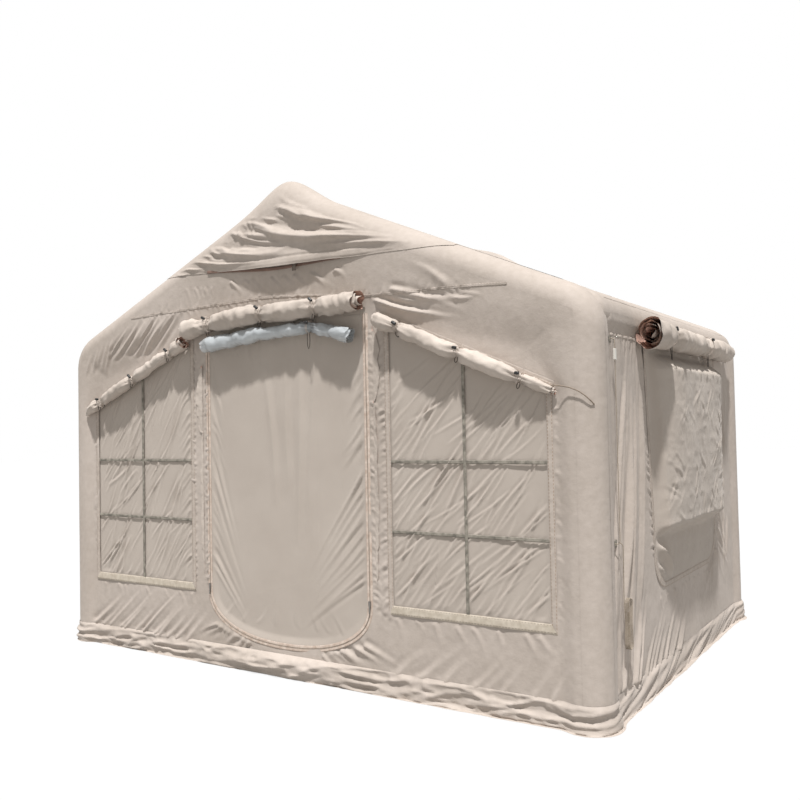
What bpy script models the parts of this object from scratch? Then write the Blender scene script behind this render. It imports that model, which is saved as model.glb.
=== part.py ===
"""An inflatable cabin tent, pitched: two air arches and three air beams in cloth sleeves carry cloth walls
with mesh windows, a zipped mesh door, rolled-up covers and a mud skirt.

Metres, +Z up, +X to the right as one faces the door, -Y out of the door. The origin is on the ground, under
the middle of the tent."""

import math

import bmesh
import bpy
from mathutils import Matrix, Vector

# Driving sizes of the whole tent, over the posts
TENT_WIDTH = 3.00
TENT_DEPTH = 2.26
EAVE_HEIGHT = 1.59
RIDGE_HEIGHT = 2.23

# Gap left between neighbours that touch, and how far a cutter runs past what it cuts
CLEARANCE = 0.0003
OVERRUN = 0.05
WELD = 0.00001

# Air frame: a rubbery bladder in a cloth sleeve
SLEEVE_RADIUS = 0.09
SLEEVE_CLOTH = 0.0015
BLADDER_WALL = 0.0015
ARCH_BEND = 0.10
BEAM_INSET = 0.010
PORT_RADIUS = 0.03
TUBE_SIDES = 16
BEND_STEPS = 3
PORT_SIDES = 10

# Cloth, mesh and webbing
CLOTH = 0.002
MESH = 0.001
WEBBING = 0.0012
GROUNDSHEET = 0.002
WALL_SETBACK = 0.02

# The door and the windows hang from hems at this drop below the rakes' centre line
HEM_DROP = 0.332

# Door: a zipped arch, round at the bottom
DOOR_WIDTH = 0.94
DOOR_STRAIGHT_END = 0.36
DOOR_BOTTOM = 0.135
DOOR_CORNER_POWER = 2.25
DOOR_CORNER_STEPS = 14
ZIP_HALF_TAPE = 0.016

# Grid windows of the front and back walls, under the slant of the roof
WINDOW_INNER = 0.59
WINDOW_OUTER = 1.29
WINDOW_SILL = 0.375
SIDE_TAPE = 0.025
SILL_TAPE = 0.045
GRID_STRAP = 0.026
GRID_LOW = 0.68
GRID_HIGH = 0.97

# Side windows: wide at the top, narrower and round at the sill
SIDE_WINDOW_DROP = 0.074
SIDE_WINDOW_SILL = 0.42
SIDE_WINDOW_TOP_WIDTH = 1.16
SIDE_WINDOW_SILL_WIDTH = 0.98
SIDE_WINDOW_CORNER = 0.16
SIDE_WINDOW_SLACK = 0.035
SLACK_FOLDS = 2.5
SLACK_FOLD_SHARE = 0.33
SLACK_ROWS = 7
SLACK_COLUMNS = 8
SIDE_WINDOW_OFFSET_SHARE = 0.025

# Gables: a vent under a flap
VENT_HEIGHT = 0.257
VENT_EDGE = 0.035
FLAP_HEIGHT = 0.270
FLAP_RISE = 0.03
FLAP_FOLD = 0.011
FLAP_STANDOFF = 0.022
FLAP_FOLDS = 5
FLAP_ROWS = 4
FLAP_COLUMNS = 20
FLAP_TOP_SHARE = 0.07

# Mud skirt
SKIRT_HEIGHT = 0.10
SKIRT_FLARE = 0.035
SKIRT_FOLD = 0.008
SKIRT_FOLDS = 24
SKIRT_BILLOWS = 8
SKIRT_RAMP = 0.08
SKIRT_STEP = 0.16
SKIRT_KNEE_SHARE = 0.35
SKIRT_KNEE_FLARE_SHARE = 0.5

# Rolled covers and their ties; the door's rolls run through places given from the middle of the door's top
DOOR_ROLL_RADIUS = 0.045
DOOR_ROLL_LINE = [(-0.583, 0.0045), (-0.235, 0.0405), (0.118, 0.045), (0.470, 0.0495)]
DOOR_TIE_SHARES = [0.16, 0.48, 0.78]
CLEAR_ROLL_RADIUS = 0.034
CLEAR_ROLL_LINE = [(-0.456, -0.075), (-0.141, -0.048), (0.188, -0.037), (0.414, -0.088)]
CLEAR_TIE_SHARE = 0.745
WINDOW_ROLL_RADIUS = 0.032
WINDOW_ROLL_ENDS = {"left": (0.600, 1.355), "right": (0.545, 1.325)}
WINDOW_TIE_SHARES = [0.14, 0.5, 0.84]
SIDE_ROLL_RADIUS = 0.058
SIDE_ROLL_DROP = 0.051
SIDE_ROLL_ENDS = (-0.63, 0.86)
SIDE_TIE_SHARES = [0.16, 0.58]
ROLL_TURNS = 1.5
ROLL_POINTS_A_TURN = 8
ROLL_PITCH_SHARE = 0.38
ROLL_CLOTH_SHARE = 0.24
ROLL_WAIST_SHARE = 0.2
ROLL_WAIST_LENGTH = 0.05
TIE_WIDTH = 0.018
TIE_SIDES = 10
TIE_HEM = 0.016
TONGUE_SHARE = 0.8
TOGGLE_RADIUS = 0.005
TOGGLE_LENGTH = 0.034
TOGGLE_SIDES = 8
TOGGLE_TURN_SHARE = 1.5 / TIE_SIDES

# Zip sliders
SLIDER_WIDTH = 0.012
SLIDER_HEIGHT = 0.022
SLIDER_DEPTH = 0.006
PULL_LENGTH = 0.030
PULL_WIDTH = 0.007
PULL_DEPTH = 0.0016
PULL_EYE = 0.002
PULL_EYE_SIDES = 8
SLIDER_ROUNDING = 0.0015

# Inflation valve
VALVE_RADIUS = 0.022
VALVE_FLANGE = 0.034
VALVE_FLANGE_DEPTH = 0.004
VALVE_LENGTH = 0.024
VALVE_BORE = 0.015
VALVE_HEIGHT = 0.30
VALVE_SIDES = 16
CAP_DEPTH = 0.006
HINGE_RADIUS = 0.003

# Guy points of the right front corner
TAB_WIDTH = 0.028
TAB_LENGTH = 0.075
TAB_EYE = 0.0035
UPPER_TAB_DROP = 0.096
LOWER_TAB_HEIGHT = 0.66
GUY_CORD = 0.0032
TENSIONER_LENGTH = 0.042
TENSIONER_WIDTH = 0.016
TENSIONER_DEPTH = 0.009
TENSIONER_BORE = 0.0046
TENSIONER_ROUNDING = 0.0018
TENSIONER_DROP = 0.058
HANK_LOOPS = 5
HANK_POINTS = 16
HANK_SIDES = 6
CORD_SIDES = 8
HANK_HEIGHT = 0.19
HANK_WIDTH = 0.036
HANK_STEP = 0.0042
HANK_WAIST_SHARE = 0.45
WINDOW_CORD = 0.0045

# The guy line's routes on the right wall, behind the front arch's middle
GUY_LINE_BEHIND = 0.090
GUY_DROP_BEHIND = 0.120

# How the line leaves a tab's eye: out of the wall's face, below the eye
EYE_ROUTE = [
    (0.0006, 0),
    (0.0120, 0),
    (0.0170, 0.0015),
    (0.0205, 0.0055),
    (0.0220, 0.0110),
]

# The drop's route: out of the wall's face, behind the front arch's middle, below the lower tab
DROP_ROUTE = [
    (0.0218, 0.122, 0.0400),
    (0.0205, 0.126, 0.0900),
    (0.0180, 0.131, 0.1500),
    (0.0160, 0.135, 0.2097),
]

# The window roll's tie cord: right of the right front post's middle, in front of it, above the roll's end
WINDOW_CORD_ROUTE = [
    (-0.0847, 0.1038, 0.0190),
    (-0.0650, 0.1045, 0.0184),
    (-0.0300, 0.1042, 0.0134),
    (0.0050, 0.1020, 0.0019),
    (0.0350, 0.0945, -0.0166),
    (0.0560, 0.0815, -0.0386),
    (0.0655, 0.0655, -0.0546),
]

ROOF_SLOPE = (RIDGE_HEIGHT - EAVE_HEIGHT) / (TENT_WIDTH / 2)
ROOF_ANGLE = math.atan(ROOF_SLOPE)
POST_X = TENT_WIDTH / 2 - SLEEVE_RADIUS
ARCH_Y = TENT_DEPTH / 2 - SLEEVE_RADIUS
FOOT_Z = GROUNDSHEET + CLEARANCE
WALL_OUT = SLEEVE_RADIUS - WALL_SETBACK
RAKE_TOP = RIDGE_HEIGHT - SLEEVE_RADIUS / math.cos(ROOF_ANGLE)
RIDGE_RADIUS = WALL_OUT - CLOTH - 2 * CLEARANCE

for leftover in list(bpy.data.objects):
    bpy.data.objects.remove(leftover)
tent_parts = bpy.data.collections.new("inflatable_tent")
cutter_parts = bpy.data.collections.new("cutters")
bpy.context.scene.collection.children.link(tent_parts)
bpy.context.scene.collection.children.link(cutter_parts)


def rake_z(x):
    """Height of the arch's centre line over x, before its bends."""
    return RAKE_TOP - ROOF_SLOPE * abs(x)


EAVE_Z = rake_z(POST_X)
DOOR_TOP = rake_z(DOOR_WIDTH / 2) - HEM_DROP
BEAM_X = POST_X - BEAM_INSET
BEAM_Z = EAVE_Z - BEAM_INSET * math.tan(math.pi / 4 - ROOF_ANGLE / 2)
SIDE_WINDOW_TOP = BEAM_Z - SIDE_WINDOW_DROP
SIDE_ROLL_HEIGHT = BEAM_Z - SIDE_ROLL_DROP
UPPER_TAB_HEIGHT = BEAM_Z - UPPER_TAB_DROP
VENT_SILL = RAKE_TOP - VENT_HEIGHT
FLAP_HEM = RAKE_TOP - FLAP_HEIGHT


# Materials
def material(name, red, green, blue, roughness):
    made = bpy.data.materials.new(name)
    made.use_nodes = True
    shader = made.node_tree.nodes["Principled BSDF"]
    shader.inputs["Base Color"].default_value = (red, green, blue, 1)
    shader.inputs["Roughness"].default_value = roughness
    return made


canvas = material("taupe_oxford_cloth", 0.42, 0.36, 0.30, 0.85)
roll_cloth = material("rolled_oxford_cloth", 0.46, 0.39, 0.32, 0.85)
bladder_film = material("bladder_film", 0.62, 0.60, 0.56, 0.4)
net = material("window_net", 0.36, 0.34, 0.31, 0.9)
webbing = material("pale_webbing", 0.55, 0.50, 0.40, 0.8)
clear_film = material("clear_film", 0.55, 0.60, 0.66, 0.15)
zip_tape = material("zip_tape", 0.62, 0.56, 0.46, 0.75)
zip_metal = material("zip_metal", 0.35, 0.34, 0.33, 0.35)
dark_webbing = material("dark_webbing", 0.16, 0.13, 0.11, 0.8)
floor_cloth = material("floor_cloth", 0.33, 0.30, 0.27, 0.7)
white_plastic = material("white_plastic", 0.80, 0.78, 0.74, 0.4)
cord_fibre = material("cord_fibre", 0.30, 0.26, 0.22, 0.8)


# Shape helpers
def placed(name, data, finish, frame=Matrix.Identity(4), smooth=False):
    """A new object in the tent's collection."""
    made = bpy.data.objects.new(name, data)
    made.matrix_world = frame
    data.materials.append(finish)
    tent_parts.objects.link(made)
    if smooth:
        data.shade_smooth()
        data.set_sharp_from_angle(angle=math.radians(40))
    return made


def meshed(curve_object, smooth=False):
    """The curve object made a mesh, with its caps welded on."""
    graph = bpy.context.evaluated_depsgraph_get()
    mesh = bpy.data.meshes.new_from_object(curve_object.evaluated_get(graph))
    welder = bmesh.new()
    welder.from_mesh(mesh)
    bmesh.ops.remove_doubles(welder, verts=welder.verts, dist=WELD)
    bmesh.ops.recalc_face_normals(welder, faces=welder.faces)
    welder.to_mesh(mesh)
    welder.free()
    name = curve_object.name
    frame = curve_object.matrix_world.copy()
    finish = curve_object.data.materials[0]
    bpy.data.objects.remove(curve_object)
    mesh.materials.clear()
    return placed(name, mesh, finish, frame, smooth)


def tube(name, points, radius, finish, sides=TUBE_SIDES, capped=True):
    """A round tube along the points."""
    curve = bpy.data.curves.new(name, "CURVE")
    curve.dimensions = "3D"
    curve.bevel_depth = radius
    curve.bevel_resolution = sides // 2 - 2
    curve.use_fill_caps = capped
    spline = curve.splines.new("POLY")
    spline.points.add(len(points) - 1)
    for point, place in zip(spline.points, points):
        point.co = (*place, 1)
    return placed(name, curve, finish)


def panel(name, outlines, out, thickness, frame, finish):
    """A flat sheet in a wall's frame: the first outline is its edge, the others are holes."""
    curve = bpy.data.curves.new(name, "CURVE")
    curve.dimensions = "2D"
    curve.fill_mode = "BOTH"
    curve.extrude = thickness / 2
    for outline in outlines:
        spline = curve.splines.new("POLY")
        spline.use_cyclic_u = True
        spline.points.add(len(outline) - 1)
        for point, (across, up) in zip(spline.points, outline):
            point.co = (across, up, 0, 1)
    return placed(name, curve, finish, frame @ Matrix.Translation((0, 0, out + thickness / 2)))


def loft(name, sections, finish, frame=Matrix.Identity(4), closed=False):
    """A skin through sections of as many points each, capped by strips across them, or closed end to end."""
    mesh = bmesh.new()
    rows = [[mesh.verts.new(place) for place in section] for section in sections]
    size = len(rows[0])
    pairs = list(zip(rows, rows[1:]))
    if closed:
        pairs.append((rows[-1], rows[0]))
    for near, far in pairs:
        for i in range(size):
            j = (i + 1) % size
            mesh.faces.new((near[i], near[j], far[j], far[i]))
    if not closed:
        for row in (rows[0], rows[-1]):
            for i in range(size // 2 - 1):
                mesh.faces.new((row[i], row[i + 1], row[size - 2 - i], row[size - 1 - i]))
    bmesh.ops.recalc_face_normals(mesh, faces=mesh.faces)
    data = bpy.data.meshes.new(name)
    mesh.to_mesh(data)
    mesh.free()
    return placed(name, data, finish, frame, smooth=True)


def cylinder(name, radius, length, centre, axis, finish, sides=VALVE_SIDES):
    """A capped cylinder with its middle at centre."""
    mesh = bmesh.new()
    bmesh.ops.create_cone(
        mesh, cap_ends=True, segments=sides, radius1=radius, radius2=radius, depth=length
    )
    data = bpy.data.meshes.new(name)
    mesh.to_mesh(data)
    mesh.free()
    turn = Vector(axis).to_track_quat("Z", "Y").to_matrix().to_4x4()
    return placed(name, data, finish, Matrix.Translation(centre) @ turn, smooth=True)


def block(name, size, centre, finish, frame=Matrix.Identity(4), rounding=0):
    """A box, its edges rounded where rounding is given."""
    mesh = bmesh.new()
    bmesh.ops.create_cube(mesh, size=1)
    bmesh.ops.scale(mesh, vec=size, verts=mesh.verts)
    if rounding:
        bmesh.ops.bevel(mesh, geom=mesh.edges, offset=rounding, segments=2, affect="EDGES", profile=0.5)
    data = bpy.data.meshes.new(name)
    mesh.to_mesh(data)
    mesh.free()
    return placed(name, data, finish, frame @ Matrix.Translation(centre))


def as_cutter(made):
    """Moves an object to the cutters, out of the render."""
    tent_parts.objects.unlink(made)
    cutter_parts.objects.link(made)
    made.hide_render = True
    made.display_type = "WIRE"
    return made


def combine(made, others, operation):
    for other in others:
        step = made.modifiers.new(other.name, "BOOLEAN")
        step.operation = operation
        step.solver = "EXACT"
        step.object = other
    return made


def cut(made, cutters):
    return combine(made, cutters, "DIFFERENCE")


def fused(made, others):
    return combine(made, [as_cutter(other) for other in others], "UNION")


def hollowed(made, wall):
    """A skin given its thickness, inwards from its face."""
    shell = made.modifiers.new("wall", "SOLIDIFY")
    shell.thickness = wall
    shell.offset = -1
    shell.use_even_offset = True
    return made


def bent(corners, radius):
    """The path through the corner points, with an arc of the radius at each inner corner."""
    corners = [Vector(corner) for corner in corners]
    path = [corners[0]]
    for before, corner, after in zip(corners, corners[1:], corners[2:]):
        back = (before - corner).normalized()
        ahead = (after - corner).normalized()
        half_angle = back.angle(ahead) / 2
        middle = corner + (back + ahead).normalized() * radius / math.sin(half_angle)
        start = (corner + back * radius / math.tan(half_angle) - middle).normalized()
        end = (corner + ahead * radius / math.tan(half_angle) - middle).normalized()
        for step in range(BEND_STEPS + 1):
            path.append(middle + start.slerp(end, step / BEND_STEPS) * radius)
    return path + [corners[-1]]


# Wall frames: x runs along the wall, y up it and z out of it, from the centre plane of the tubes behind it
def wall_frame(heading, reach):
    turn = Matrix.Rotation(heading, 4, "Z")
    stand = Matrix.Rotation(math.pi / 2, 4, "X")
    return turn @ Matrix.Translation((0, -reach, 0)) @ stand


FRONT = wall_frame(0, ARCH_Y)
RIGHT = wall_frame(math.pi / 2, POST_X)
BACK = wall_frame(math.pi, ARCH_Y)
LEFT = wall_frame(-math.pi / 2, POST_X)

# Sleeves and bladders: each beam butts on the arches, and its bladder opens into theirs
INNER_STEP = 1 / math.cos(math.pi / TUBE_SIDES)
BLADDER_SHRINK = (SLEEVE_CLOTH + CLEARANCE) * INNER_STEP
CUT_GROW = CLEARANCE * INNER_STEP


def arch_path(y, foot):
    corners = ((-POST_X, foot), (-POST_X, EAVE_Z), (0, RAKE_TOP), (POST_X, EAVE_Z), (POST_X, foot))
    return bent([(x, y, z) for x, z in corners], ARCH_BEND)


def beam_path(x, z, reach):
    return [Vector((x, -reach, z)), Vector((x, reach, z))]


BEAMS = {
    "left": (-BEAM_X, BEAM_Z, SLEEVE_RADIUS),
    "right": (BEAM_X, BEAM_Z, SLEEVE_RADIUS),
    "ridge": (0, RAKE_TOP, RIDGE_RADIUS),
}
ports = []
for side, (x, z, radius) in BEAMS.items():
    for end, y in (("front", -ARCH_Y), ("back", ARCH_Y)):
        inward = Vector((0, -math.copysign(1, y), 0))
        port_reach = SLEEVE_RADIUS + OVERRUN
        middle = Vector((x, y, z)) + inward * port_reach / 2
        ports.append(
            as_cutter(
                cylinder(f"port_{side}_{end}", PORT_RADIUS, port_reach, middle, inward, canvas, PORT_SIDES)
            )
        )

arch_cutters = {}
bladder_cutters = {}
for end, y in (("front", -ARCH_Y), ("back", ARCH_Y)):
    near_ports = [port for port in ports if port.name.endswith(end)]
    sleeve = meshed(
        tube(f"sleeve_arch_{end}", arch_path(y, FOOT_Z), SLEEVE_RADIUS, canvas, capped=False), smooth=True
    )
    cut(hollowed(sleeve, SLEEVE_CLOTH), near_ports)
    bladder_radius = SLEEVE_RADIUS - BLADDER_SHRINK
    bladder = meshed(tube(f"air_arch_{end}", arch_path(y, FOOT_Z), bladder_radius, bladder_film), smooth=True)
    cut(hollowed(bladder, BLADDER_WALL), near_ports)
    clear_of_arch = tube(f"clear_arch_{end}", arch_path(y, -OVERRUN), SLEEVE_RADIUS + CUT_GROW, canvas)
    arch_cutters[end] = as_cutter(meshed(clear_of_arch))

beam_cutters = {}
for side, (x, z, radius) in BEAMS.items():
    beam_ports = [port for port in ports if port.name.startswith(f"port_{side}")]
    sleeve_path = beam_path(x, z, ARCH_Y)
    sleeve = meshed(tube(f"sleeve_beam_{side}", sleeve_path, radius, canvas, capped=False), smooth=True)
    cut(hollowed(sleeve, SLEEVE_CLOTH), arch_cutters.values())
    bladder_path = beam_path(x, z, ARCH_Y - SLEEVE_RADIUS - CLEARANCE)
    bladder = meshed(
        tube(f"air_beam_{side}", bladder_path, radius - BLADDER_SHRINK, bladder_film), smooth=True
    )
    cut(hollowed(bladder, BLADDER_WALL), beam_ports)
    clear_path = beam_path(x, z, TENT_DEPTH / 2 + OVERRUN)
    beam_cutters[side] = as_cutter(meshed(tube(f"clear_beam_{side}", clear_path, radius + CUT_GROW, canvas)))


# Inflation valve with its flip cap, at the foot of the left back post, turned towards the room's middle
VALVE_AXIS = Vector((1, -1, 0)).normalized()
valve_seat = Vector((-POST_X, ARCH_Y, VALVE_HEIGHT)) + VALVE_AXIS * (SLEEVE_RADIUS + CLEARANCE)


def on_valve(distance):
    return valve_seat + VALVE_AXIS * distance


flange_middle = on_valve(VALVE_FLANGE_DEPTH / 2)
barrel_middle = on_valve(VALVE_LENGTH / 2)
bore_run = VALVE_LENGTH + 2 * OVERRUN
valve = cylinder(
    "inflation_valve", VALVE_FLANGE, VALVE_FLANGE_DEPTH, flange_middle, VALVE_AXIS, white_plastic
)
valve_barrel = cylinder(
    "valve_barrel", VALVE_RADIUS, VALVE_LENGTH, barrel_middle, VALVE_AXIS, white_plastic
)
valve_bore = as_cutter(cylinder("valve_bore", VALVE_BORE, bore_run, barrel_middle, VALVE_AXIS, canvas))
valve.data.shade_flat()
cut(fused(valve, [valve_barrel]), [valve_bore])
cut(bpy.data.objects["sleeve_arch_back"], [valve_bore])
cut(bpy.data.objects["air_arch_back"], [valve_bore])
cap_middle = on_valve(VALVE_LENGTH + CLEARANCE + CAP_DEPTH / 2)
cap = cylinder("valve_cap", VALVE_RADIUS, CAP_DEPTH, cap_middle, VALVE_AXIS, white_plastic)
cap_pivot = cap_middle + Vector((0, 0, VALVE_RADIUS))
cap_knuckle = cylinder(
    "cap_knuckle", HINGE_RADIUS, VALVE_RADIUS, cap_pivot, (1, 1, 0), white_plastic, PORT_SIDES
)
fused(cap, [cap_knuckle])

# Groundsheet
half_sheet_x = POST_X + WALL_OUT
half_sheet_y = ARCH_Y + WALL_OUT
sheet_edge = [
    (-half_sheet_x, -half_sheet_y),
    (half_sheet_x, -half_sheet_y),
    (half_sheet_x, half_sheet_y),
    (-half_sheet_x, half_sheet_y),
]
panel("groundsheet", [sheet_edge], 0, GROUNDSHEET, Matrix.Identity(4), floor_cloth)


# Door outline, a superellipse below its straight sides, drawn in or out by a margin
def door_outline(margin, top):
    half = DOOR_WIDTH / 2 + margin
    depth = DOOR_STRAIGHT_END - DOOR_BOTTOM + margin
    points = [(-half, top), (half, top)]
    for step in range(DOOR_CORNER_STEPS + 1):
        turn = math.pi * step / DOOR_CORNER_STEPS
        across = math.copysign(abs(math.cos(turn)) ** (2 / DOOR_CORNER_POWER), math.cos(turn))
        down = math.sin(turn) ** (2 / DOOR_CORNER_POWER)
        points.append((half * across, DOOR_STRAIGHT_END - depth * down))
    return points


def window_top(across):
    return rake_z(across) - HEM_DROP


def window_outline(side, margin, sill_margin):
    """A grid window's opening on one side of the door, drawn in or out by the margins."""
    inner = WINDOW_INNER - margin
    outer = WINDOW_OUTER + margin
    corners = [(inner, WINDOW_SILL - sill_margin), (outer, WINDOW_SILL - sill_margin)]
    corners += [(outer, window_top(outer) + margin), (inner, window_top(inner) + margin)]
    return [(side * across, up) for across, up in corners]


def vent_outline(margin):
    """The gable vent, a low triangle under the rakes."""
    roof_line = RAKE_TOP - WALL_OUT / math.cos(ROOF_ANGLE) - VENT_EDGE + margin
    half = (roof_line - VENT_SILL + margin) / ROOF_SLOPE
    return [(-half, VENT_SILL - margin), (half, VENT_SILL - margin), (0, roof_line)]


def side_window_outline(margin):
    """A side window's opening: it narrows towards a sill with round corners."""
    middle = SIDE_WINDOW_OFFSET_SHARE * TENT_DEPTH
    top = SIDE_WINDOW_TOP + margin
    sill = SIDE_WINDOW_SILL - margin
    half_top = SIDE_WINDOW_TOP_WIDTH / 2 + margin
    half_sill = SIDE_WINDOW_SILL_WIDTH / 2 + margin
    corners = [(0, top, 0), (-half_top, top, 0), (-half_sill, sill, 0)]
    corners += [(half_sill, sill, 0), (half_top, top, 0), (0, top, 0)]
    points = [corners[1]] + [tuple(p) for p in bent(corners[1:5], SIDE_WINDOW_CORNER)[1:-1]] + [corners[4]]
    return [(middle + point[0], point[1]) for point in points]


# Walls, cut to the sleeves that they are sewn to
wall_base = WALL_OUT - CLOTH
gable_edge = [(-POST_X, FOOT_Z), (POST_X, FOOT_Z), (POST_X, EAVE_Z), (0, RAKE_TOP), (-POST_X, EAVE_Z)]
window_holes = [window_outline(side, 0, 0) for side in (-1, 1)]
front_outlines = [gable_edge, door_outline(0, DOOR_TOP), *window_holes, vent_outline(0)]
front_wall = meshed(panel("front_wall", front_outlines, wall_base, CLOTH, FRONT, canvas))
cut(front_wall, [arch_cutters["front"]])
back_wall = meshed(
    panel("back_wall", [gable_edge, *window_holes, vent_outline(0)], wall_base, CLOTH, BACK, canvas)
)
cut(back_wall, [arch_cutters["back"]])
side_edge = [(-ARCH_Y, FOOT_Z), (ARCH_Y, FOOT_Z), (ARCH_Y, EAVE_Z), (-ARCH_Y, EAVE_Z)]
for side, frame in (("right", RIGHT), ("left", LEFT)):
    wall = panel(f"{side}_wall", [side_edge, side_window_outline(0)], wall_base, CLOTH, frame, canvas)
    cut(meshed(wall), [*arch_cutters.values(), beam_cutters[side]])

# Roof slopes, from the ridge down to the eave beams
ridge_trim = CLOTH * math.tan(ROOF_ANGLE) + 2 * CLEARANCE
eave_run = POST_X / math.cos(ROOF_ANGLE)
slope_edge = [(-ARCH_Y, ridge_trim), (ARCH_Y, ridge_trim), (ARCH_Y, eave_run), (-ARCH_Y, eave_run)]
for side, sign in (("right", 1), ("left", -1)):
    down_slope = Vector((sign * math.cos(ROOF_ANGLE), 0, -math.sin(ROOF_ANGLE)))
    out_of_roof = Vector((sign * math.sin(ROOF_ANGLE), 0, math.cos(ROOF_ANGLE)))
    along = down_slope.cross(out_of_roof)
    frame = Matrix((along, down_slope, out_of_roof)).transposed().to_4x4()
    frame.translation = (0, 0, RAKE_TOP)
    ridge_lift = WALL_OUT * math.tan(ROOF_ANGLE)
    edge = [(across, down - ridge_lift) for across, down in slope_edge[:2]] + slope_edge[2:]
    slope = meshed(panel(f"roof_{side}", [edge], wall_base, CLOTH, frame, canvas))
    cut(slope, [*arch_cutters.values(), beam_cutters[side]])

# Mesh of the windows and vents, let into the walls
for place, frame in (("front", FRONT), ("back", BACK)):
    panel(f"vent_mesh_{place}", [vent_outline(-CLEARANCE)], wall_base, MESH, frame, net)
    for side, sign in (("left", -1), ("right", 1)):
        opening = window_outline(sign, -CLEARANCE, -CLEARANCE)
        panel(f"window_mesh_{place}_{side}", [opening], wall_base, MESH, frame, net)


# Tapes round the grid windows, and the straps across them, as one sewn piece
def window_tapes(place, side, sign, frame):
    tape_edge = window_outline(sign, SIDE_TAPE, SILL_TAPE)
    strap_middle = (WINDOW_INNER + WINDOW_OUTER) / 2
    levels = [WINDOW_SILL, GRID_LOW, GRID_HIGH]
    columns = [
        (WINDOW_INNER, strap_middle - GRID_STRAP / 2),
        (strap_middle + GRID_STRAP / 2, WINDOW_OUTER),
    ]
    panes = []
    for near, far in columns:
        for low, high in zip(levels, levels[1:]):
            floor = low if low == WINDOW_SILL else low + GRID_STRAP / 2
            ceiling = high - GRID_STRAP / 2
            panes.append([(near, floor), (far, floor), (far, ceiling), (near, ceiling)])
        floor = GRID_HIGH + GRID_STRAP / 2
        panes.append([(near, floor), (far, floor), (far, window_top(far)), (near, window_top(near))])
    holes = [[(sign * across, up) for across, up in pane] for pane in panes]
    out = WALL_OUT + CLEARANCE
    panel(f"window_tapes_{place}_{side}", [tape_edge, *holes], out, WEBBING, frame, webbing)


for place, frame in (("front", FRONT), ("back", BACK)):
    for side, sign in (("left", -1), ("right", 1)):
        window_tapes(place, side, sign, frame)


# Side windows: slack mesh with its zip tape round it
def slack_mesh(name, frame):
    """The mesh hangs slack: it bellies inwards and gathers in folds towards the sill."""
    outline = side_window_outline(-CLEARANCE)
    middle = SIDE_WINDOW_OFFSET_SHARE * TENT_DEPTH
    right_edge = [point for point in outline if point[0] > middle]
    right_edge.sort(key=lambda point: point[1])
    height = SIDE_WINDOW_TOP - SIDE_WINDOW_SILL - 2 * CLEARANCE
    sheet = bmesh.new()
    rows = []
    for row in range(SLACK_ROWS + 1):
        rise_share = row / SLACK_ROWS
        up = SIDE_WINDOW_SILL + CLEARANCE + height * rise_share
        half = half_width_at(right_edge, up) - middle
        belly = math.sqrt(math.sin(math.pi * rise_share)) if 0 < row < SLACK_ROWS else 0
        points = []
        for column in range(SLACK_COLUMNS + 1):
            across_share = 2 * column / SLACK_COLUMNS - 1
            fold = SLACK_FOLD_SHARE * math.cos(SLACK_FOLDS * math.pi * across_share) * (1 - rise_share)
            sink = SIDE_WINDOW_SLACK * belly * (1 - across_share**2) * (1 + fold) / 2
            points.append(sheet.verts.new((middle + half * across_share, up, wall_base + MESH - sink)))
        rows.append(points)
    for below, above in zip(rows, rows[1:]):
        for i in range(SLACK_COLUMNS):
            sheet.faces.new((below[i], below[i + 1], above[i + 1], above[i]))
    bmesh.ops.triangulate(sheet, faces=sheet.faces)
    data = bpy.data.meshes.new(name)
    sheet.to_mesh(data)
    sheet.free()
    return hollowed(placed(name, data, net, frame, smooth=True), MESH)


def half_width_at(edge, up):
    """Where an edge, given from the sill upwards, stands at a height."""
    for (across, low), (next_across, high) in zip(edge, edge[1:]):
        if low <= up <= high:
            share = (up - low) / (high - low) if high > low else 0
            return across + (next_across - across) * share
    return edge[0][0] if up < edge[0][1] else edge[-1][0]


for side, frame in (("right", RIGHT), ("left", LEFT)):
    slack_mesh(f"window_mesh_{side}", frame)
    tapes = [side_window_outline(SIDE_TAPE), side_window_outline(0)]
    panel(f"window_tapes_{side}", tapes, WALL_OUT + CLEARANCE, WEBBING, frame, webbing)

# Door: the mesh with its half of the zip hangs in the opening, and the other half is sewn to the wall
tape_out = WALL_OUT + CLEARANCE
door_mesh_edge = door_outline(-CLEARANCE, DOOR_TOP - CLEARANCE)
panel("door_mesh", [door_mesh_edge], WALL_OUT - MESH, MESH, FRONT, net)


def zip_band(margin_in, margin_out, top):
    """One half of the zip's tape: a U that runs from one top corner of the door round to the other."""
    outer = door_outline(margin_out, top)
    inner = door_outline(margin_in, top)
    return [*outer[1:], outer[0], inner[0], *inner[:0:-1]]


inner_band = zip_band(-ZIP_HALF_TAPE, -CLEARANCE, DOOR_TOP - CLEARANCE)
outer_band = zip_band(0, ZIP_HALF_TAPE, DOOR_TOP)
panel("door_zip_inner", [inner_band], tape_out, WEBBING, FRONT, zip_tape)
panel("door_zip_outer", [outer_band], tape_out, WEBBING, FRONT, zip_tape)

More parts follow.
